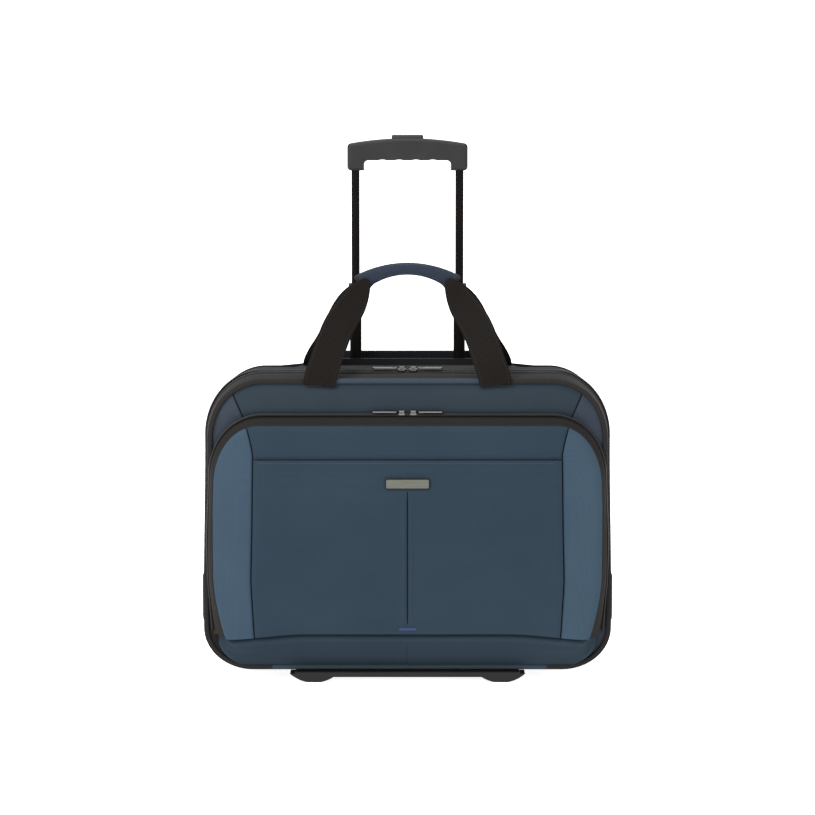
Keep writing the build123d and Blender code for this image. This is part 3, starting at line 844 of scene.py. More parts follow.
def front_gusset():
    """The fabric band round the front half, from the front panel back to the zip."""
    low, high = LID_LOW.y + 2.0, -30.6
    shape = Shape()
    shape.grid(ring_rows(above(LID_RING, 20.5), evenly(high, low, 11), bulge_of(low, high, 1.3, 0.9, 2.0)))
    piece("front_gusset", shape, [CLOTH_BLACK], "front_half", ["lid_gusset"], wall=2.2)


def zip_half(name, stations, tape, coil_y, outset, body, node, teeth_to):
    """One side of a zip: a woven tape round an outline, between two depths, and half of the coil
    along its edge. The coil's ribs lean towards the other half."""
    low, high = tape
    section = rounded_section(outset, outset + 1.3, low, high, 0.6, 2)
    shape = Shape()
    shape.tube(ring_frames(stations, 0.0), section)
    piece(name + "_tape", shape, [TAPE], body, [node])
    dense = []
    for a, b in zip(stations, stations[1:]):
        count = max(1, round(math.dist(a[:2], b[:2]) / 0.55))
        dense += [mix(a, b, k / count) for k in range(count)]
    coil = Shape()

    def ribbed(i):
        fat = 1.0 if i % 3 else 0.72
        return [(1.15 * a * fat + outset + 1.3, 1.0 * b * fat + (0.25 * teeth_to if i % 3 == 1 else 0))
                for a, b in circle(7)]
    coil.tube(ring_frames(dense, coil_y), ribbed)
    piece(name + "_coil", coil, [COIL], body, crease=80)


def front_zips():
    """The halves of the main zip and of the pocket's zip that are on the front half."""
    zip_half("main_zip_front_half", above(LID_RING, ZIP_LOW), tape=(-37.6, -31.2), coil_y=-31.4,
             outset=0.1, body="front_half", node="main_zip_front", teeth_to=1)
    zip_half("pocket_zip_rear_half", above(pocket_ring(), TRAY_LOW.z + 1), tape=(-76.0, -73.2),
             coil_y=-76.2, outset=-1.0, body="front_half", node="pocket_zip_rear", teeth_to=-1)


def facet_edge(z):
    """Half the width of the sloping lower panel, which follows the binding round the bottom corners."""
    return min(FACET_HIGH.x + 2.0, lid_edge(z) - 9.5)


def facet_point(x, t):
    """A point of the sloping panel, t from its lower edge, behind the binding, to its brow."""
    y = mix(LID_LOW.y - 1.0, SLIP_LOW.y + 3.6, t ** 0.92)
    z = mix(LID_LOW.z + 2.4, FACET_HIGH.z - 0.2, t)
    swell = 3.0 * math.sin(math.pi * t ** 1.35) * (1 - 0.4 * (x / 196) ** 2)
    swell += 0.6 * math.sin(math.pi * t) * ripple(x, t * 60, 0, 45, 7.0)
    swell += 1.5 * math.exp(-((t - ROLL_MIDDLE) / 0.07) ** 2)
    roll = clamp((t - 0.80) / 0.20)
    y -= swell * 0.85 - 3.4 * roll ** 2.4
    z -= swell * 0.42
    end = clamp((abs(x) - 160) / 37)
    return x, mix(y, LID_LOW.y - 3.0, end ** 3.2), z


def lower_panel():
    """The sloping panel below the pocket, with a rolled brow, a middle seam and a short end seam."""
    count, steps = 60, 34
    rows = []
    heights = [mix(j / steps, (j / steps) ** 1.4, 0.5) for j in range(steps + 1)]
    for t in heights:
        half = facet_edge(facet_point(0, t)[2])
        row = []
        right = [0.0, 0.6, 1.3, 2.4]
        right += [half * math.sin(math.pi / 2 * k / count) for k in range(1, count + 1)]
        for x in both_ways(right):
            x, y, z = facet_point(x, t)
            dip = 0.9 * (1 - puff(x, 0.8)) * clamp((0.8 - t) * 8)
            dip += 1.0 * (1 - puff(x - 188.0, 1.1)) * clamp((t - 0.35) * 8)
            row.append((x, y + dip, z))
        rows.append(row)
    shape = Shape()
    across = len(rows[0]) - 1

    # Painted highlight: rows round the rolled brow and the end columns take the lighter cloth_front, as if
    # catching light, instead of cloth_low.
    def paint(i, j):
        return 1 if abs(heights[j] - ROLL_MIDDLE) < 0.06 or not 7 <= i < across - 7 else 0
    shape.grid(rows, paint)
    panel = piece("lower_panel", shape, [CLOTH_LOW, CLOTH_FRONT], "front_half",
                  ["lower_facet"], wall=1.8)


# ---------------------------------------------------------------- front pocket

FACE_HALF = TRAY_HIGH.x + 1.2     # before sit() draws the sides in
FACE_TOP = TRAY_HIGH.z - 8.6
FACE_CORNER = (48.0, 60.0)
WALL_HALF = TRAY_HIGH.x + 5.2
WALL_TOP = TRAY_HIGH.z + 0.8
WALL_CORNER = (56.0, 60.0)
SLIP_SEAM = SLIP_HIGH.x + 2.5


def side_reach(z):
    """Half the width of the pocket where it meets the front panel."""
    return WALL_HALF - 3.4 * clamp((150 - z) / 60) - 3.5 * clamp((106 - z) / 52) ** 1.6


def pocket_ring():
    """The pocket's outline where it meets the front panel, open at the bottom."""
    heights = spaced(TRAY_LOW.z, WALL_TOP - WALL_CORNER[1], 32)
    right = [(side_reach(z), z) for z in heights]
    right += arc((WALL_HALF - WALL_CORNER[0], WALL_TOP - WALL_CORNER[1]), WALL_CORNER, 0, math.pi / 2, 4.0)
    right += polyline([(WALL_HALF - WALL_CORNER[0], WALL_TOP), (0.0, WALL_TOP)], 4.0) + [(0.0, WALL_TOP)]
    return with_normals(right + [(-x, z) for x, z in reversed(right[:-1])], closed=False)


def face_edge(z):
    """Half the width of the pocket's face, which narrows towards the bottom."""
    edge = edge_x(z, FACE_HALF, 0.0, FACE_TOP, FACE_CORNER, (1.0, 1.0))
    return edge - 3.0 * clamp((190 - z) / 70) - 13.0 * clamp((118 - z) / 64) ** 1.7


def face_seam(z):
    """The seam between the middle and the side of the pocket's face."""
    over = clamp((z - SLIP_HIGH.z) / (FACE_TOP - SLIP_HIGH.z))
    seam = SLIP_SEAM + 1.2 * rise((z - 140) / 90) + 8.0 * over ** 1.4 - 3.5 * clamp((110 - z) / 56)
    return min(seam, face_edge(z) - 0.8)


def face_y(x, z, edge=None):
    """The depth of the pocket's face: leaning back at the top and rounded back at its sides."""
    edge = edge or face_edge(z)
    low = clamp((z - TRAY_LOW.z) / 96)
    top = clamp((z - 185) / (FACE_TOP - 185))
    y = -99.9 + 1.0 * low + 7.6 * top ** 2
    y += 5.0 * clamp((abs(x) - 150) / (FACE_HALF - 150)) ** 2.2
    border = min(inside(x, z, FACE_HALF, FACE_TOP, FACE_CORNER), edge - abs(x))
    y += 3.6 * (1 - clamp(border / 6.0)) ** 2
    return y + 0.55 * ripple(x, 0, z, 70, 1.0)


def wall_foot(x, z):
    """Where the pocket's wall meets the front panel, for a point of the face's border."""
    corner_low = FACE_TOP - FACE_CORNER[1]
    if z > FACE_TOP - 0.001:
        return x * (WALL_HALF - WALL_CORNER[0]) / (FACE_HALF - FACE_CORNER[0]), WALL_TOP
    if z > corner_low:
        angle = math.asin((z - corner_low) / FACE_CORNER[1])
        return (math.copysign(WALL_HALF + WALL_CORNER[0] * (math.cos(angle) - 1), x),
                WALL_TOP + WALL_CORNER[1] * (math.sin(angle) - 1))
    share = (z - TRAY_LOW.z) / (corner_low - TRAY_LOW.z)
    height = mix(TRAY_LOW.z - 4.0, WALL_TOP - WALL_CORNER[1], share)
    return math.copysign(side_reach(height), x), height


def pocket_face():
    """The padded face of the front pocket, in three panels."""
    middle, side = 44, 8
    rows, rooms = [], []
    for z in levels(TRAY_LOW.z - 0.6, FACE_TOP, FACE_CORNER, (0, 0), 4.0):
        edge, seam = face_edge(z), face_seam(z)
        row = []
        for x in seamed(edge, seam, middle, side):
            away = abs(x) - seam
            dip = SEAM_DIP * (1 - puff(away, 1.25)) + 0.9 * (1 - puff(away, 9.0))
            row.append((x, face_y(x, z, edge) + dip * clamp((edge - seam - 0.8) / 6), z))
        rows.append(row)
        rooms.append(edge - seam)
    shape = Shape()
    # Dark seam_shadow cloth along each seam is painted shadow in its groove.
    shape.grid(rows, seam_paint(middle, side, 0, 1, 2, rooms))
    face = piece("pocket_face", shape, [CLOTH_FRONT, CLOTH_SIDE, SEAM_SHADOW], "pocket_front",
                 ["pocket_tray"], wall=2.2)
    return [row[-1] for row in rows] + rows[-1][-2:0:-1] + [row[0] for row in reversed(rows)]


def pocket_wall(border):
    """The black wall from the face's border back to the zip, and the piping along the border."""
    rows = []
    for t in evenly(0.0, 1.0, 8):
        row = []
        for x, y, z in border:
            foot_x, foot_z = wall_foot(x, z)
            full = 1.5 * math.sin(math.pi * t)
            out = Vector((foot_x, 0, max(0.0, foot_z - 150))).normalized() * full
            row.append((mix(x, foot_x, t) + out.x, mix(y + 0.6, -76.9, t), mix(z, foot_z, t) + out.z))
        rows.append(row)
    wall = Shape()
    wall.grid(rows[::-1])
    piece("pocket_wall", wall, [CLOTH_BLACK], "pocket_front", wall=1.6)
    frames = []
    for k, point in enumerate(border):
        ahead, behind = Vector(border[min(k + 1, len(border) - 1)]), Vector(border[max(k - 1, 0)])
        along = (ahead - behind).normalized()
        side = along.cross(Vector((0, -1, 0))).normalized()
        frames.append((point, tuple(side), tuple(along.cross(side))))
    piping = Shape()
    piping.tube(frames, circle(8, 0.9))
    piece("pocket_face_piping", piping, [BINDING_BLACK], "pocket_front")
    zip_half("pocket_zip_front_half", pocket_ring(), tape=(-81.4, -77.0), coil_y=-77.0,
             outset=-0.6, body="pocket_front", node="pocket_zip_front", teeth_to=1)


def slip_y(x, z):
    """The slip pocket lies on the pocket's face, a cloth's thickness proud."""
    return face_y(x, z) - 1.7


def slip_panel():
    """The open-topped slip pocket: one sheet with a turned hem, a middle pleat and a bar tack."""
    rows = []
    pleat_low, pleat_high = SLIP_LOW.z + 9, BADGE_LOW.z - 4
    heights = spaced(SLIP_LOW.z, SLIP_HIGH.z - 5.0, 50)
    heights += [SLIP_HIGH.z - d for d in (5.0, 4.2, 3.6, 3.0, 2.0, 1.0, 0.0)]
    for z in heights:
        seam = face_seam(z) - 0.6
        row = []
        places = [0.0, 0.5, 1.0, 1.6, 2.4, 3.4, 4.6, 6.2] + evenly(8.0, seam, 47)
        deep = clamp((z - pleat_low) / 10) * clamp((pleat_high - z) / 10)
        for x in both_ways(places):
            y = slip_y(x, z)
            y += deep * (1.25 * math.exp(-(x / 0.75) ** 2) - 0.75 * math.exp(-((abs(x) - 3.6) / 2.4) ** 2))
            y -= 0.9 * clamp((z - SLIP_HIGH.z + 4.2) / 1.2)
            y += 1.2 * (1 - clamp((seam - abs(x)) / 2.0)) ** 2
            y += 1.1 * (1 - clamp((z - SLIP_LOW.z) / 3.0)) ** 2
            row.append((x, y, z))
        rows.append(row)
    middle = len(rows[0]) // 2

    # Painted shadow: the pleat's fold and the top 1.5 mm under the hem take the near-black seam_shadow
    # cloth.
    def paint(i, j):
        z = rows[j][0][2]
        pleat = i in (middle - 1, middle) and pleat_low < z < pleat_high
        return 1 if pleat or z > SLIP_HIGH.z - 1.5 else 0
    shape = Shape()
    shape.grid(rows, paint)
    panel = piece("slip_pocket_panel", shape, [CLOTH_FRONT, SEAM_SHADOW], "pocket_front",
                  ["slip_pocket"], wall=1.1)
    z = SLIP_HIGH.z - 4.2
    path = [((x, slip_y(x, z) - 0.15, z), (0, -1, 0)) for x in spaced(-158.0, 158.0, 60)]
    hem = sewn("slip_pocket_stitches", [path], THREAD, "pocket_front", "front_fabric",
               (3.0, 2.0, 0.28, 0.3))
    z = SLIP_LOW.z + 5.2
    tacks = [[((x, slip_y(x, z) - 0.1, z + up), (0, -1, 0)) for up in (-1.2, 1.2)]
             for x in evenly(-8.0, 8.0, 22)]
    bar = sewn("slip_pocket_bar_tack", tacks, THREAD_BLUE, "pocket_front", "front_fabric",
               (2.4, 2.2, 0.45, 0.45))


def badge_bed():
    """A raised pad of dark plastic that holds the plain metal plate."""
    x_half = BADGE_HIGH.x + 1.1
    z_half = (BADGE_HIGH.z - BADGE_LOW.z) / 2 + 1.1
    z_mid = (BADGE_HIGH.z + BADGE_LOW.z) / 2
    front = BADGE_LOW.y + 0.35
    rows = []
    for depth, inset in ((5.2, 0.0), (0.6, 0.0), (0.15, 0.25), (0.0, 0.6), (0.1, 1.0), (0.5, 1.25)):
        loop = rounded_section(-x_half + inset, x_half - inset, z_mid - z_half + inset,
                               z_mid + z_half - inset, max(0.5, 2.4 - inset), 4)
        rows.append([(a, front + depth, b) for a, b in loop])
    shape = Shape()
    first = shape.grid(rows, loop=True)
    shape.cap(first, len(rows[0]))
    shape.cap(first + (len(rows) - 1) * len(rows[0]), len(rows[0]))
    piece("badge_bed", shape, [BLACK_PLASTIC], "pocket_front", firm=True)


# ---------------------------------------------------------------- case

def rear_gusset():
    """The deep fabric band of the case, with openings for the trolley's cup and the wheel corners."""
    low, high = BODY_LOW.y + 0.2, BACK_LOW.y
    cup_y = CUP_LOW.y - 0.4
    depths = evenly(low, cup_y, 18) + evenly(WELL_Y, high, 8)

    def offset(x, y, z):
        t = clamp((y - low) / (high - low))
        full = math.sin(math.pi * t) ** 0.7
        quiet = clamp((z - WELL_TOP) / 30) if abs(x) > 150 else 1.0
        by_cup = clamp((math.hypot(max(0, abs(x) - CUP_X), max(0, CUP_LOW.y - y)) - 1) / 25)
        top = clamp((z - 300) / 20)
        quiet *= mix(1.0, by_cup, top)
        sag = -1.6 * top * clamp(1 - abs(x) / 150)
        return quiet * (full * (1.5 + sag + 1.5 * ripple(x, y * 1.6, z, 75, 3.0))
                        + 0.35 * full * ripple(x, y * 4, z, 22, 5.0))
    rows = ring_rows(BODY_RING + BODY_RING[:1], depths, offset)

    def paint(i, j):
        x = sum(rows[j][i + k][0] for k in (0, 1)) / 2
        z = sum(rows[j][i + k][2] for k in (0, 1)) / 2
        y = (depths[j] + depths[j + 1]) / 2
        if y > cup_y and abs(x) < CUP_X and z > 300:
            return None
        if y > WELL_Y and WELL_X[0] < abs(x) < WELL_X[1] and z < WELL_TOP:
            return None
        return 0
    shape = Shape()
    flipped = [row[::-1] for row in rows]
    count = len(rows[0]) - 1
    shape.grid(flipped, lambda i, j: paint(count - 1 - i, j))
    band = piece("rear_gusset", shape, [CLOTH_GUSSET], "case", ["gusset"], wall=2.4)
    zip_half("main_zip_rear_half", above(BODY_RING, ZIP_LOW), tape=(-29.2, -22.4), coil_y=-29.0,
             outset=0.1, body="case", node="main_zip_rear", teeth_to=-1)


def back_edge(z):
    """Half the width of the back panel at a height, with its raised middle."""
    if z > BODY_HIGH.z - 0.2:
        return narrowed(HUMP_HALF, HUMP_RADIUS, z - (BACK_HIGH.z - HUMP_RADIUS))
    return edge_x(z, BODY_HIGH.x, BODY_LOW.z, BODY_HIGH.z, TOP_CORNER, FOOT_CORNER)


def back_pad():
    """The padded back, with sewn channels that frame the trolley's tubes."""
    heights = [z for z in levels(BODY_LOW.z, BODY_HIGH.z, TOP_CORNER, FOOT_CORNER, 4.5)
               if z < BODY_HIGH.z - 0.1]
    heights += [BODY_HIGH.z - 0.21, BODY_HIGH.z + 0.2, 323.5, 325.5]
    heights += [BACK_HIGH.z - HUMP_RADIUS * (1 - math.sin(math.pi / 2 * k / 5)) for k in range(6)]
    heights += [WELL_TOP - 0.3, WELL_TOP + 0.3]
    for line in BACK_SEAMS_Z:
        heights = [z for z in heights if abs(z - line) > 3.2]
        heights += [line + d for d in (-2.6, -1.5, -0.7, 0.0, 0.7, 1.5, 2.6)]
    heights = sorted(heights)

    def lines(x, z):
        """The distance to the nearest seam."""
        return min(abs(abs(x) - BACK_SEAM_X), *(abs(z - line) for line in BACK_SEAMS_Z))
    front, back = [], []
    for z in heights:
        edge = back_edge(z)
        if z < WELL_TOP:
            edge = min(edge, HOUSING_LOW.x + 1)
        row = []
        for x in reversed(seamed(edge, min(BACK_SEAM_X, edge - 8.0), 26, 16)):
            border = clamp(min(edge - abs(x), z - BODY_LOW.z, BACK_HIGH.z - z) / 7)
            in_recess = clamp((z - 62) / 6)
            swell = 2.9 * puff(lines(x, z), 5.0) * border ** 0.6 * in_recess
            row.append((x, BACK_LOW.y + 1.6 + swell + 0.25 * swell * ripple(x, 0, z, 26, 9.0), z))
        back.append(row)
        front.append([(x, BACK_LOW.y + 0.1, z) for x, y, z in row])
    shape = closed_pad(back, front, ends=(-1, 0))
    pad = piece("back_pad", shape, [CLOTH_GUSSET], "case", ["back_panel"])
    settle(pad, lambda p: p.y < BACK_LOW.y + 0.5 or lines(p.x, p.z) < 0.3 or p.z < 66, 3.0, 2.2)
    paths = [[((side * BACK_SEAM_X + away, BACK_LOW.y + 3.4, z), (0, 1, 0)) for z in spaced(70, 296, 60)]
             for side in (-1, 1) for away in (-3.4, 3.4)]
    sewn("back_pad_stitches", paths, THREAD_BLACK, "case", "gusset_fabric", (3.4, 2.2, 0.35, 0.6))
    corners = Shape()
    for _, side in SIDES:
        rows = []
        for z in evenly(29.0, WELL_TOP + 2.0, 12):
            start, edge = HOUSING_HIGH.x - 1, back_edge(z)
            rows.append([(side * mix(start, edge, u), BACK_LOW.y + 1.8 + 0.8 * math.sin(math.pi * u), z)
                         for u in (0.0, 0.25, 0.5, 0.75, 1.0)])
        corners.grid(rows if side < 0 else [row[::-1] for row in rows])
    piece("back_corner_pads", corners, [CLOTH_GUSSET], "case", wall=1.6)


def board_lining():
    """The lined board that divides the trolley from the compartment."""
    low, high = mm_box("frame_board")
    corner = (TOP_CORNER[0] - 3, TOP_CORNER[1] - 3)
    rows = []
    for z in levels(low.z, high.z - 2.0, corner, FOOT_CORNER, 6.0):
        half = edge_x(z, high.x - 2.0, low.z, high.z - 2.0, corner, FOOT_CORNER)
        if z < WELL_TOP + 1:
            half = HOUSING_LOW.x - 1
        places = spaced(-half, -CUP_X - 1, 10) + spaced(-CUP_X - 1, CUP_X + 1, 20)
        places += evenly(CUP_X + 1, half, 10)
        rows.append([(x, low.y - 0.3 * ripple(x, 0, z, 60, 6.0), z) for x in places])
    shape = Shape()
    shape.grid(rows, lambda i, j: None if 10 <= i < 30 and rows[j][0][2] > CUP_LOW.z - 2 else 0)
    piece("board_lining", shape, [LINING], "case", ["frame_board"], wall=2.4)


def rear_binding():
    """The piped edge between the gusset and the back."""
    stations = [s for s in BACK_RING if s[1] > WELL_TOP or abs(s[0]) > HOUSING_HIGH.x - 2]
    section = rounded_section(-3.6, 1.6, -2.6, 2.4, 2.0)
    shape = Shape()
    shape.tube(ring_frames(stations, BACK_HIGH.y), section)
    piece("rear_edge_binding", shape, [BINDING_BLACK], "case", ["rear_binding"])


def side_guards():
    """The padded reinforcement low on each side, with a sewn edge."""
    for name, side in SIDES:
        low, high = mm_box("side_guard_" + name)
        middle = (low + high) / 2
        half_y, half_z = (high.y - low.y) / 2, (high.z - low.z) / 2
        rows = []
        count = 26
        for j in range(count + 1):
            v = math.sin(math.pi / 2 * (2 * j / count - 1))
            z = middle.z + half_z * v
            wide = narrowed(half_y, GUARD_CORNER, abs(v) * half_z - (half_z - GUARD_CORNER))
            row = []
            for k in range(count + 1):
                u = math.sin(math.pi / 2 * (2 * k / count - 1))
                border = min(wide * (1 - abs(u)), half_z * (1 - abs(v)))
                swell = 3.2 * puff(border, 2.0) + 2.2 * puff(max(0.0, border - 4.4), 3.0) * (border > 4.4)
                row.append((side * (BODY_HIGH.x - 0.2 + swell), middle.y + side * wide * u, z))
            rows.append(row)
        shape = Shape()
        shape.grid(rows)
        guard = piece("side_guard_pad_" + name, shape, [CLOTH_BLUE], "case",
                      ["side_guard_" + name], wall=1.4)
        loop = rounded_section(-half_y + 4.4, half_y - 4.4, -half_z + 4.4, half_z - 4.4, 8.5, 6)
        path = [((side * (BODY_HIGH.x + 2.9), middle.y + a, middle.z + b), (side, 0, 0)) for a, b in loop]
        sewn("side_guard_stitches_" + name, [path + path[:1]], THREAD_BLUE, "case", "guard_fabric",
             (3.0, 2.0, 0.3, 0.45))


def laptop_sleeve():
    """The padded sleeve inside: a quilted front, thin sides and floor, a bound mouth and a strap."""
    half, low, high = SLEEVE_HIGH.x, SLEEVE_LOW.z, SLEEVE_HIGH.z
    front_y, back_y = SLEEVE_LOW.y + 2.0, SLEEVE_LOW.y + 5.4
    across, up = 84, 54
    front, back = [], []
    for j in range(up + 1):
        z = mix(low, high, j / up)
        wide = narrowed(half, SLEEVE_CORNER, low + SLEEVE_CORNER - z)
        row = []
        for k in range(across + 1):
            x = wide * (2 * k / across - 1)
            border = min(wide - abs(x), z - low, high - z)
            row.append((x, front_y - 0.8 * puff(border, 8), z))
        front.append(row)
        back.append([(x, back_y, z) for x, y, z in row])
    pad = piece("sleeve_pad", closed_pad(front, back), [LINING], "case",
                ["laptop_sleeve"])
    quilts = (-114.0, -38.0, 38.0, 114.0)
    stitched = 2 * half / across * 0.6
    settle(pad, lambda p: p.y > back_y - 0.1 or min(half - abs(p.x), p.z - low, high - p.z) < 2
           or any(abs(p.x - q) < stitched for q in quilts), 4.0, 5.0)
    wall = Shape()
    corner = (half - SLEEVE_CORNER, low + SLEEVE_CORNER)
    right = polyline([(0.0, low), (corner[0], low)], 6.0)
    right += arc(corner, (SLEEVE_CORNER, SLEEVE_CORNER), -math.pi / 2, 0, 3.0)
    right += polyline([(half, corner[1]), (half, high)], 6.0) + [(half, high)]
    stations = with_normals([(-x, z) for x, z in reversed(right[1:])] + right, closed=False)
    depths = evenly(SLEEVE_HIGH.y - 0.6, back_y - 0.4, 5)
    wall.grid(ring_rows(stations, depths, lambda x, y, z: 0.4 * ripple(x, y, z, 30, 8.0)))
    piece("sleeve_walls", wall, [LINING], "case", wall=1.4)
    mouth = Shape()
    frames = [((x, (front_y + back_y) / 2 - 0.4, high), (0.0, 1.0, 0.0), (0.0, 0.0, 1.0))
              for x in evenly(-half, half, 90)]
    mouth.tube(frames, rounded_section(-3.0, 3.0, -3.6, 1.6, 1.4))
    piece("sleeve_mouth_binding", mouth, [BINDING_BLACK], "case")
    strap = [(0.0, SLEEVE_HIGH.y - 1.5, high + 2), (0.0, SLEEVE_HIGH.y - 4, high + 7),
             (0.0, 30.0, high + 9.5), (0.0, 18.0, high + 7), (0.0, 12.2, high + 1),
             (0.0, 10.9, high - 14), (0.0, 10.6, high - 42)]
    ribbon("sleeve_strap", [(p, (1, 0, 0), 24.0) for p in strap], 1.6, "case", ())


# ---------------------------------------------------------------- webbing and handles

def strap_line(stops, steps):
    """(middle, across, outward, width) along a strap, from stops of (middle, across, width)."""
    line = hermite([(*p, *Vector(side).normalized(), width) for p, side, width in stops], steps)
    made = []
    for i, key in enumerate(line):
        ahead, behind = line[min(i + 1, len(line) - 1)], line[max(i - 1, 0)]
        along = (Vector(ahead[:3]) - Vector(behind[:3])).normalized()
        side = Vector(key[3:6])
        side = (side - along * side.dot(along)).normalized()
        made.append((key[:3], side, side.cross(along), key[6]))
    return made


def ribbon(name, stops, thick, body, replaced, across=14):
    """Flat webbing along stops, thinner at its edges."""
    line = strap_line(stops, 8)

    def section(i):
        half = line[i][3] / 2
        made = []
        for sign in (1, -1):
            for k in range(across + 1):
                u = 1 - 2 * k / across
                edge = clamp((1 - abs(u)) * half / 0.9)
                made.append((sign * u * half, sign * thick / 2 * (0.45 + 0.55 * math.sqrt(edge))))
        return made
    shape = Shape()
    shape.tube([(point, tuple(side), tuple(up)) for point, side, up, _ in line], section)
    return piece(name, shape, [WEBBING], body, replaced, crease=70)


def edge_stitches(name, stops, body, face):
    """A line of stitches inside each edge of a strap. face is -1 on its front and 1 on its back."""
    line = strap_line(stops, 6)
    paths = []
    for edge in (-1, 1):
        path = []
        for point, side, up, width in line:
            out = up * (face if up.y >= 0 else -face)
            path.append((tuple(Vector(point) + side * edge * (width / 2 - 2.6)
                               + out * (STRAP_THICK / 2 - 0.1)), tuple(out)))
        paths.append(path)
    sewn(name, paths, THREAD_BLACK, body, "webbing", (3.4, 2.2, 0.3, 0.35))


# The right leg of each strap, from its tab to the wrap: the middle, the direction across, the width.
FRONT_LEG = (((91.4, -77.0, 312.0), (1, 0, 0), 33.5),
             ((90.0, -76.6, 321.0), (1, 0, 0.10), 33.5),
             ((84.9, -72.8, 336.5), (1, 0, 0.26), 33.0),
             ((78.8, -63.5, 354.0), (1, 0, 0.40), 33.0),
             ((73.0, -54.5, 368.6), (1, 0, 0.52), 33.0),
             ((66.2, -47.0, 380.5), (1, 0, 0.56), 32.5),
             ((58.4, -40.5, 392.0), (1, 0, 0.62), 30.5),
             ((51.0, -36.4, 404.5), (1, 0, 0.75), 24.0),
             ((45.4, -35.4, 413.5), (1, 0, 0.95), 15.0),
             ((42.2, -33.6, 418.6), (0.9, 0, 1.1), 6.0))
REAR_LEG = (((95.0, 29.5, 323.6), (1, 0, 0), 33.5),
            ((94.6, 27.5, 326.0), (1, 0, 0.04), 33.5),
            ((90.0, 22.5, 335.0), (1, 0, 0.24), 33.0),
            ((82.4, 16.0, 347.0), (1, 0, 0.40), 33.0),
            ((74.0, 7.0, 364.0), (1, 0, 0.48), 32.5),
            ((65.0, -1.5, 384.0), (1, 0, 0.56), 31.0),
            ((56.0, -7.5, 399.0), (1, -0.1, 0.75), 26.0),
            ((46.0, -12.0, 411.0), (0.8, -0.2, 1.1), 15.0),
            ((35.0, -13.5, 419.0), (0.45, 0, 1.0), 10.0),
            ((18.0, -13.5, 427.0), (0.2, 0, 1.0), 8.5),
            ((-1.0, -13.5, 429.3), (0, 0, 1.0), 8.5))


def straps():
    """The front and the rear webbing: flat legs that lean in from their tabs and bend to the wrap."""
    for end, leg, seam, body, face in (("front", FRONT_LEG, 8, STRAP_BEND, -1),
                                       ("rear", REAR_LEG, 6, "rear_handle", 1)):
        for name, side in SIDES:
            stops = [((side * x, y, z), (a, b * side, c * side), width)
                     for (x, y, z), (a, b, c), width in leg]
            ribbon(f"{end}_strap_{name}", stops, STRAP_THICK, body, [end + "_webbing"])
            edge_stitches(f"{end}_strap_stitches_{name}", stops[:seam], body, face)


def strap_tabs(end, body, across, profile, run, cross, reach, out):
    """The sewn ends of one webbing. across is their middle and half width, profile their (y, z)
    points, run which of those follows the cloth, and cross the middle of the crossed stitches,
    which reach that far in y and z and lie outward."""
    cloth = Shape()
    crosses = []
    for _, side in SIDES:
        x = side * across[0]
        columns = [x + across[1] * u for u in TAB_COLUMNS]
        cloth.grid([[(c, *place) for c in columns] for place in profile],
                   weave=[[((c - x) * MM, place[run] * MM, 0.0) for c in columns] for place in profile])
        crosses.append([((x + 13 * a, cross[0] + reach[0] * b, cross[1] + reach[1] * b), out)
                        for a, b in ((-1, -1), (1, -1), (1, 1), (-1, 1), (-1, -1), (1, 1))])
    piece(end + "_strap_tabs", cloth, [WEBBING], body, [end + "_handle_tabs"],
          wall=1.6, firm=True)
    sewn(end + "_tab_stitches", crosses, THREAD_BLACK, body, "webbing", (2.6, 1.8, 0.32, 0.35), firm=True)


def front_tabs():
    """On the front panel's edge, over its binding."""
    low, high = mm_box("front_handle_tabs")
    y, foot = -76.2, low.z + 4.0
    profile = [(y + 0.6, foot), (y - 0.5, foot + 0.4), (y - 0.75, foot + 2.0), (y - 0.75, high.z - 1),
               (y - 0.6, high.z + 1.8), (y + 0.2, high.z + 4.0)]
    strap_tabs("front", "front_half", (91.2, 16.4), profile, 1, (y - 0.95, (foot + high.z) / 2),
               (0, 3), (0, -1, 0))


def rear_tabs():
    """On top of the case, in front of the trolley."""
    low, high = mm_box("rear_handle_tabs")
    z = high.z + 0.2
    profile = [(low.y, z + 0.5), (low.y + 2, z), (high.y - 2.0, z), (high.y - 0.6, z - 0.2),
               (high.y, z - 1.6)]
    strap_tabs("rear", "case", (95.0, 17.0), profile, 0, ((low.y + high.y) / 2, z + 0.1),
               (5, 0), (0, 0, 1))


def wrap_frame(angle):
    """A frame on the handle's arch: side is outward along its radius, up is to the back."""
    out = (math.sin(angle), 0.0, math.cos(angle))
    middle = (WRAP_LOW.y + WRAP_HIGH.y) / 2
    point = (out[0] * WRAP_RADIUS, middle, WRAP_CENTRE + out[2] * WRAP_RADIUS)
    return point, out, (0.0, 1.0, 0.0)


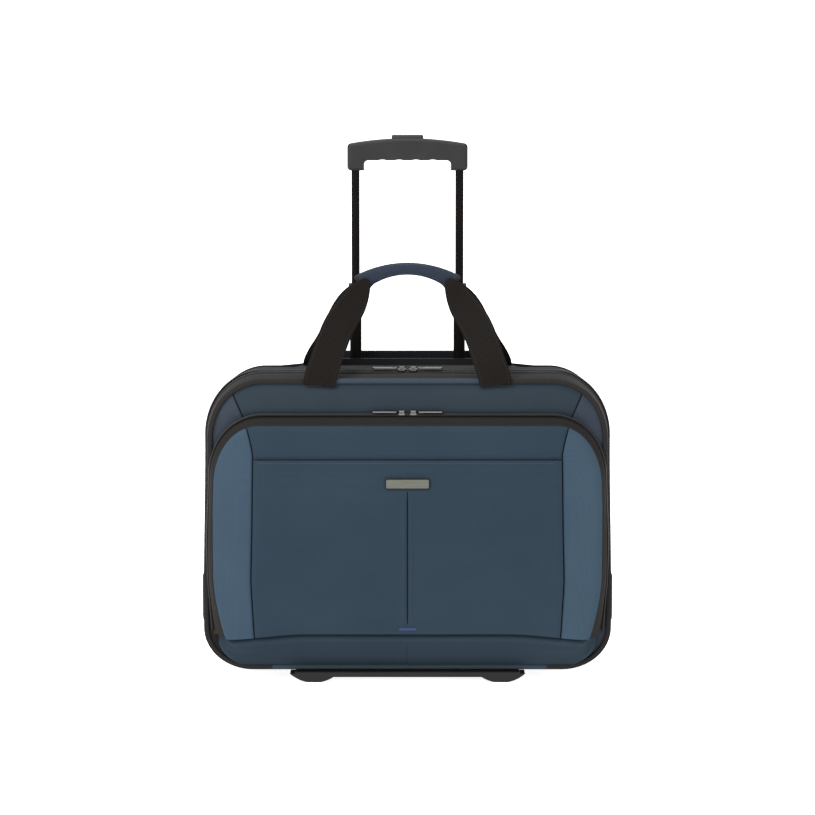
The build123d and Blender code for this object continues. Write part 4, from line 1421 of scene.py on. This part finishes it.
def hand_wrap():
    """The padded grip round both straps: a closed form that swells as cloth, then its bound ends."""
    count = 72
    frames = [wrap_frame(angle) for angle in evenly(-WRAP_REACH, WRAP_REACH, count)]

    def section(i):
        t = abs(2 * i / count - 1)
        flare = 1.0 + 0.5 * t ** 2
        end = 1.0 - 0.10 * clamp((t - 0.96) / 0.04)
        made = []
        for k in range(28):
            angle = math.tau * k / 28
            a = math.copysign(abs(math.cos(angle)) ** 0.8, math.cos(angle)) * 6.4 * flare * end
            b = math.copysign(abs(math.sin(angle)) ** 0.62, math.sin(angle)) * 10.8 * end
            made.append((a, b))
        return made
    shape = Shape()
    shape.tube(frames, section)
    wrap = piece("hand_wrap", shape, [CLOTH_WRAP], "front_handle", ["handle_wrap"],
                 crease=180)

    def held(p):
        angle = math.atan2(p.x, p.z - WRAP_CENTRE)
        radius = math.hypot(p.x, p.z - WRAP_CENTRE)
        sewn = radius < WRAP_RADIUS - 4 and p.y > WRAP_FRONT + 15
        return abs(angle) > WRAP_REACH - 0.03 or sewn
    settle(wrap, held, 4.0, 1.6)
    smooth(wrap)
    for name, side in SIDES:
        trim = Shape()
        bound = [wrap_frame(side * (WRAP_REACH + k * 0.012)) for k in (-4, -3, -2, -1, 0, 0.6)]

        def cuff(i):
            fat = (1.035, 1.09, 1.10, 1.09, 1.03, 0.9)[i]
            return [(a * fat, b * fat) for a, b in section(0)]
        trim.tube(bound, cuff)
        piece("hand_wrap_end_" + name, trim, [BINDING_BLACK], "front_handle", crease=80)
    paths = []
    for off, y in ((5.2, WRAP_FRONT + 3.6), (-4.2, WRAP_FRONT + 2.2)):
        path = []
        for angle in evenly(-WRAP_REACH + 0.07, WRAP_REACH - 0.07, 60):
            point, out, _ = wrap_frame(angle)
            path.append(((point[0] + out[0] * off, y, point[2] + out[2] * off), (0, -1, 0)))
        paths.append(path)
    sewn("hand_wrap_stitches", paths, THREAD, "front_handle", "wrap_fabric", (3.2, 2.2, 0.3, 0.9))


def sit_cloth():
    """Moves every cloth piece of the case as sit() says."""
    for obj in CLOTH:
        for vertex in obj.data.vertices:
            vertex.co = Vector(sit(*(vertex.co / MM))) * MM


add_camera()
add_studio()
paint_cad()
front_panel()
front_binding()
front_gusset()
front_zips()
lower_panel()
pocket_wall(pocket_face())
slip_panel()
badge_bed()
rear_gusset()
back_pad()
board_lining()
rear_binding()
side_guards()
laptop_sleeve()
straps()
front_tabs()
rear_tabs()
hand_wrap()
sit_cloth()
